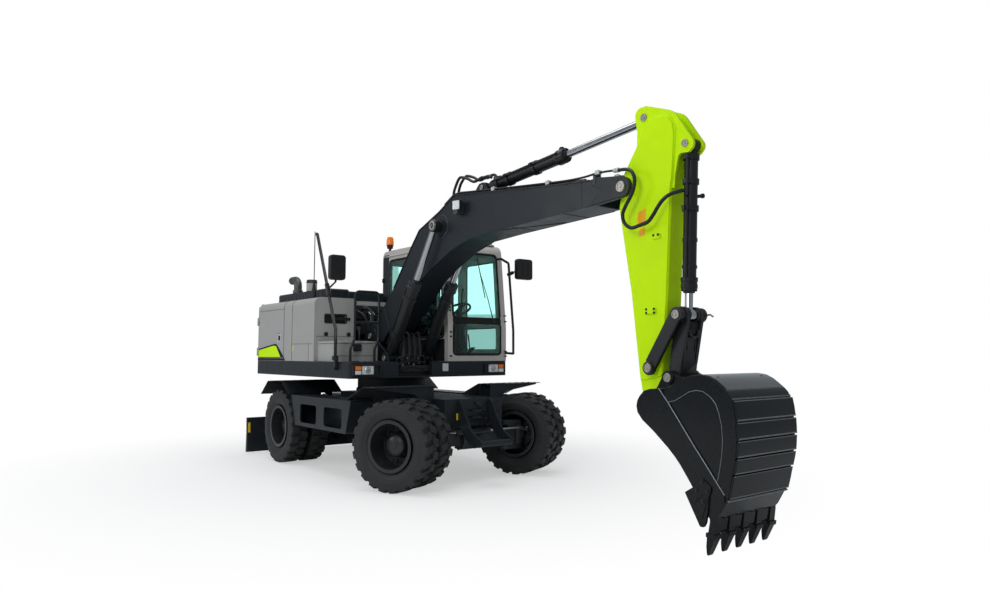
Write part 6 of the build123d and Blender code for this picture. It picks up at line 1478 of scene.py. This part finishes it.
shapes.append(turned([(0.05, 0.015), (0.105, 0.015), (0.109, 0.021), (0.13, 0.021), (0.13, 0.0)],
    foot + run * 0.45, (0.35, 0.94, 0.15), 10))
for at, wide in ((0.11, 0.088), (0.32, 0.096), (0.55, 0.108)):
    middle = foot + run * at
    shapes.append(cuboid((middle[0] - 0.014, middle[0] + 0.014),
        (middle[1] - wide, middle[1] + wide * 0.86), (middle[2] - 0.02, middle[2] + 0.02)))
piece("bucket_cylinder_trim", shapes, black_paint, "bucket_cylinder", "paint_black")
shapes = []
for side in SIDES:
    outer = BOOM_MID + side * 0.17
    shapes.append(across_y([(-0.03, 0.064), (0.004, 0.064), (0.008, 0.06), (0.008, 0.036)], ROCKER_TOP,
        outer, side))
    shapes.append(across_y([(-0.029, 0.063), (0.002, 0.063), (0.004, 0.06), (0.004, 0.058)], ROCKER_PIN,
        outer, side))
    shapes.append(extruded(eased([(4.905, 1.47), (5.17, 1.872), (5.262, 1.812), (4.998, 1.4)], 0.02), "y",
        (outer - side * 0.024, outer + side * 0.003)))
piece("rocker_link_bosses", shapes, black_paint, "rocker_links", "paint_black", 0.003)
caps = caps_on(ROCKER_TOP, 0.1785, 0.038)
caps.append(tube([(5.262, 0.01, 1.862), (5.3, 0.018, 1.87), (5.33, 0.02, 1.85)], 0.008, 8))
piece("rocker_link_caps", caps, pin_grey, "rocker_links", "steel")
shapes = []
for y0, y1 in ((-0.311, -0.277), (-0.123, -0.089), (-0.273, -0.247), (-0.153, -0.127)):
    shapes.append(turned([(0.0, 0.066), (0.004, 0.07), (y1 - y0 - 0.004, 0.07), (y1 - y0, 0.066),
        (y1 - y0, 0.04)], (5.241, y0, 1.862), LEFT, 32))
for side in SIDES:
    rib = [(5.262, 1.8), (5.282, 1.8), (5.262, 1.56), (5.24, 1.56)]
    shapes.append(extruded(rib, "y", (BOOM_MID + side * 0.048, BOOM_MID + side * 0.06)))
hook = [(5.29, -0.055, 1.735), (5.292, -0.054, 1.69), (5.29, 0.0, 1.672), (5.292, 0.054, 1.69),
    (5.29, 0.055, 1.735)]
shapes.append(hose([(x, BOOM_MID + y, z) for x, y, z in hook], 6, 0.012, 10))
piece("bucket_link_trim", shapes, black_paint, "bucket_link", "paint_black")

# ---- Bucket ------------------------------------------------------------------
# A rounded digging bucket of rolled and welded plate in black paint: raised side bands, stepped wear
# strips, side cutters, and a lip with adapters and teeth; thin light lines on plate edges and the lighter top
# plate are painted highlights.
bucket_paint = finish("bucket_paint", (0.008, 0.0095, 0.0115), 0.2, mottle=0.25, grain=60.0, coat=0.12,
    dust=0.01, shine=0.15)
# the top plate's paint is lighter than the rest of the bucket: a painted sheen where light falls on the top
painted_top_sheen = finish("bucket_top_painted_sheen", (0.02, 0.023, 0.027), 0.16, mottle=0.2, grain=40.0, coat=1.0)
# lighter grey for the blade's worn cutting edge, and for the thin lines along the bucket's plate edges, which
# are painted highlights
edge_wear_and_painted_highlight = finish("edge_wear_and_painted_highlight", (0.16, 0.17, 0.18), 0.34, metal=0.2, mottle=0.2, grain=40.0)
NEAR, FAR = -0.604, 0.204
CHEEKS = ((NEAR, -1), (FAR, 1))
# (x, z) outlines: from the hinge round the mouth to the lip, up the back to the top, the raised band's
# inner edge, and the edge of the thicker plate by the mouth
NOSE = [(5.283, 1.255), (5.236, 1.256), (5.18, 1.251), (5.136, 1.246), (5.083, 1.23), (5.037, 1.187),
    (5.01, 1.145), (5.001, 1.1), (5.011, 1.05), (5.063, 0.989), (5.174, 0.91), (5.315, 0.793),
    (5.384, 0.727), (5.437, 0.667), (5.53, 0.54), (5.61, 0.42), (5.686, 0.313)]
SHELL = [(5.722, 0.272), (5.775, 0.33), (5.839, 0.436), (5.851, 0.451), (5.878, 0.55), (5.903, 0.655),
    (5.923, 0.735), (5.935, 0.81), (5.941, 0.899), (5.938, 1.035), (5.928, 1.12), (5.912, 1.198),
    (5.89, 1.235), (5.861, 1.263), (5.813, 1.301), (5.763, 1.337), (5.707, 1.363), (5.636, 1.372),
    (5.563, 1.367), (5.502, 1.352), (5.432, 1.314), (5.355, 1.274)]
INNER = [(5.327, 1.149), (5.394, 1.163), (5.464, 1.2), (5.533, 1.239), (5.6, 1.253), (5.665, 1.245),
    (5.728, 1.207), (5.771, 1.161), (5.8, 1.088), (5.82, 1.0), (5.826, 0.895), (5.817, 0.79), (5.802, 0.71),
    (5.78, 0.61), (5.757, 0.56)]
MOUTH_EDGE = [(5.832, 0.493), (5.747, 0.603), (5.676, 0.695), (5.569, 0.829), (5.33, 1.146)]
back = SHELL + [(5.3, 1.262), (5.236, 1.256)]
shell = [extruded(NOSE + SHELL, "y", (face - out * 0.006, face - out * 0.024)) for face, out in CHEEKS]
shell.append(extruded([(5.745, 0.3), (5.728, 0.205), (5.716, 0.192), (5.702, 0.196), (5.69, 0.3)], "y",
    (NEAR + 0.002, FAR - 0.002)))
shell.append(strip_along(back, 0.0, 0.02, (NEAR + 0.01, FAR - 0.01)))
piece_of_shell = piece("bucket_shell", shell, bucket_paint, "bucket", "paint_black", 0.006)
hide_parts("bucket")
plates = []
for face, out in CHEEKS:
    # raised band round the outside and the thicker plate by the mouth
    band = INNER + [(5.79, 0.53), (5.832, 0.493)] + SHELL[3:] + [(5.283, 1.255), (5.3, 1.18)]
    plates.append(extruded(band, "y", (face - out * 0.008, face + out * 0.001)))
    mouth = NOSE + SHELL[:2] + [(5.832, 0.43)] + MOUTH_EDGE + [(5.27, 1.22)]
    plates.append(extruded(mouth, "y", (face - out * 0.008, face + out * 0.005)))
    lower = [(5.486, 0.468), (5.56, 0.514), (5.651, 0.593), (5.72, 0.54), (5.728, 0.521), (5.706, 0.463),
        (5.694, 0.36), (5.676, 0.267), (5.655, 0.23), (5.621, 0.229)]
    plates.append(extruded(eased(lower, 0.01), "y", (face - out * 0.002, face + out * 0.02)))
    for a, b in (((5.648, 0.468), (5.575, 0.401)), ((5.702, 0.462), (5.64, 0.294))):
        plates.append(tube([(a[0], face + out * 0.02, a[1]), (b[0], face + out * 0.02, b[1])], 0.006, 8))
piece("bucket_side_plates", plates, bucket_paint, "bucket", "paint_black", 0.003)
# thin light lines along the mouth plate's edge and the raised band's inner edge: painted highlights where
# these edges catch the light
painted_highlight_lines = []
for face, out in CHEEKS:
    for run, lift, thick in (([(5.236, 1.256)] + MOUTH_EDGE[::-1], 0.0045, 0.005), (INNER, 0.001, 0.0032)):
        painted_highlight_lines.append(tube([(x, face + out * lift, z) for x, z in run], thick, 6))
piece("bucket_plate_edges", painted_highlight_lines, edge_wear_and_painted_highlight, "bucket", "paint_black")
heads = []
for face, out in CHEEKS:
    heads += bolts([(x, face + out * 0.02, z) for x, z in ((5.651, 0.565), (5.598, 0.499), (5.694, 0.502),
        (5.655, 0.421))], (0, out, 0), 0.013, 0.012)
piece("bucket_cutter_bolts", heads, black_paint, "bucket", "steel")

# thin plate over the bucket's top in that lighter paint, a painted sheen
top = [(5.3, 1.262)] + SHELL[:13:-1] + [(5.858, 1.265)]
piece("bucket_top_plate", strip_along(top, 0.003, 0.004, (NEAR + 0.022, FAR - 0.022)), painted_top_sheen, "bucket",
    "paint_black", 0.001)

# wear strips across the rounded back, each a bar with a thin light line along its lower edge that is a
# painted highlight
BACK = np.array(SHELL[2:9] + [(5.941, 0.97)] + SHELL[9:12] + [(5.885, 1.241)] + SHELL[13:15])
strips, edges = [], []
for low, high, proud in (
    (1.198, 1.263, 0.004), (1.045, 1.185, 0.02), (0.909, 1.025, 0.022),
    (0.779, 0.889, 0.022), (0.655, 0.759, 0.022), (0.47, 0.635, 0.02),
):
    z = np.linspace(low, high, 5)
    x = np.interp(z, BACK[:, 1], BACK[:, 0])
    outer = np.column_stack([x + proud, z])
    inside = np.column_stack([x - 0.01, z])[::-1]
    strips.append(extruded(np.vstack([outer, inside]), "y", (NEAR + 0.004, FAR - 0.004)))
    # (depth, height) corners of the painted highlight lines along its foot and its top
    foot = ((-0.004, -0.004), (0.001, -0.003), (0.0015, 0.008), (-0.004, 0.008))
    head = ((-0.006, -0.003), (0.002, -0.003), (-0.002, 0.003), (-0.01, 0.003))
    for at, level, corners in ((x[0] + proud, low, foot), (x[-1] + proud, high, head)):
        line = [(at + out, level + up) for out, up in corners]
        edges.append(extruded(line, "y", (NEAR + 0.006, FAR - 0.006)))
# a painted highlight line along the lip
edges.append(tube([(5.858, NEAR + 0.006, 0.449), (5.858, FAR - 0.006, 0.449)], 0.009, 8))
piece("bucket_wear_strips", strips, bucket_paint, "bucket", "paint_black", 0.003)
piece("bucket_strip_edges", edges, edge_wear_and_painted_highlight, "bucket", "paint_black")

# adapters, collars and teeth, each a block between two sections along the lip's aim
TEETH = 5
TOOTH_PITCH = 0.185
LIP = np.array((5.709, 0.235))
AIM = np.array((-0.13, -0.991))
ACROSS = np.array((-0.991, 0.13))
# sections of an adapter, a collar and a tooth: distance along the aim, half width, depth from and to
TOOTH_ROWS = (
    ((-0.1, 0.03, -0.034, 0.01), (-0.06, 0.04, -0.036, 0.014), (0.052, 0.04, -0.035, 0.022)),
    ((0.044, 0.048, -0.046, 0.034), (0.05, 0.05, -0.048, 0.036), (0.078, 0.048, -0.046, 0.034),
        (0.082, 0.042, -0.04, 0.028)),
    ((0.078, 0.042, -0.038, 0.028), (0.15, 0.037, -0.014, 0.03), (0.205, 0.031, 0.004, 0.024),
        (0.218, 0.027, 0.01, 0.02)),
)
toes = []
for k in range(TEETH):
    y = BOOM_MID + (k - (TEETH - 1) / 2) * TOOTH_PITCH
    for rows in TOOTH_ROWS:
        ring = []
        for along, wide, a, b in rows:
            spot = LIP + AIM * along
            for dy, depth in ((-wide, a), (wide, a), (wide, b), (-wide, b)):
                at = spot + ACROSS * depth
                ring.append((at[0], y + dy, at[1]))
        faces = grid_faces(len(rows), 4, wrap_columns=True) + [(3, 2, 1, 0),
            tuple(range(4 * len(rows) - 4, 4 * len(rows)))]
        toes.append((np.array(ring), [tuple(f)[::-1] for f in faces]))
piece("bucket_teeth", toes, bucket_paint, "bucket", "steel", 0.004)

# hinge lugs, their bosses, pin caps and the bolts on the top plate
lugs = []
caps = caps_on(LINK_PIN, 0.19, 0.038) + caps_on(BUCKET_PIN, 0.19, 0.038)
for side in SIDES:
    inner, outer = BOOM_MID + side * 0.142, BOOM_MID + side * 0.178
    around = arc(LINK_PIN, 0.058, 150, 45, 8)
    lugs.append(extruded([(4.985, 1.06), (4.965, 1.11), (4.975, 1.16)] + around + [(5.26, 1.35),
        (5.4, 1.325), (5.26, 1.2), (5.1, 1.06)], "y", (inner, outer)))
    lugs.append(across_y([(-0.034, 0.06), (0.01, 0.06), (0.014, 0.056), (0.014, 0.03)], LINK_PIN, outer,
        side))
    lugs.append(across_y([(-0.034, 0.084), (0.01, 0.084), (0.014, 0.08), (0.014, 0.03)], BUCKET_PIN, outer,
        side))
piece("bucket_lugs", lugs, bucket_paint, "bucket", "paint_black", 0.003)
for x, z in ((5.475, 1.338), (5.72, 1.358)):
    for side in SIDES:
        caps += bolts([(x, BOOM_MID + side * 0.3, z)], UP, 0.01, 0.01)
piece("bucket_caps", caps, pin_grey, "bucket", "steel")

# ---- Dozer blade trim --------------------------------------------------------
# Bolts of the cutting edge, its worn lower edge and a blank yellow strip at each end.
edge_bolts = bolts([(-2.262, y, 0.1) for y in np.linspace(-1.12, 1.12, 13)], (-1, 0, 0), 0.012, 0.008)
piece("blade_bolts", edge_bolts, black_paint, "blade", "paint_charcoal")
piece("blade_edge", cuboid((-2.275, -2.215), (-1.247, 1.247), (0.025, 0.034)), edge_wear_and_painted_highlight, "blade",
    "paint_charcoal")
strip = [cuboid((-2.215, -2.2125), (y, y + 0.035), (0.32, 0.47)) for y in (-1.235, 1.18)]
piece("blade_strips", strip, yellow_label, "blade", "paint_charcoal")

low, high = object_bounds()
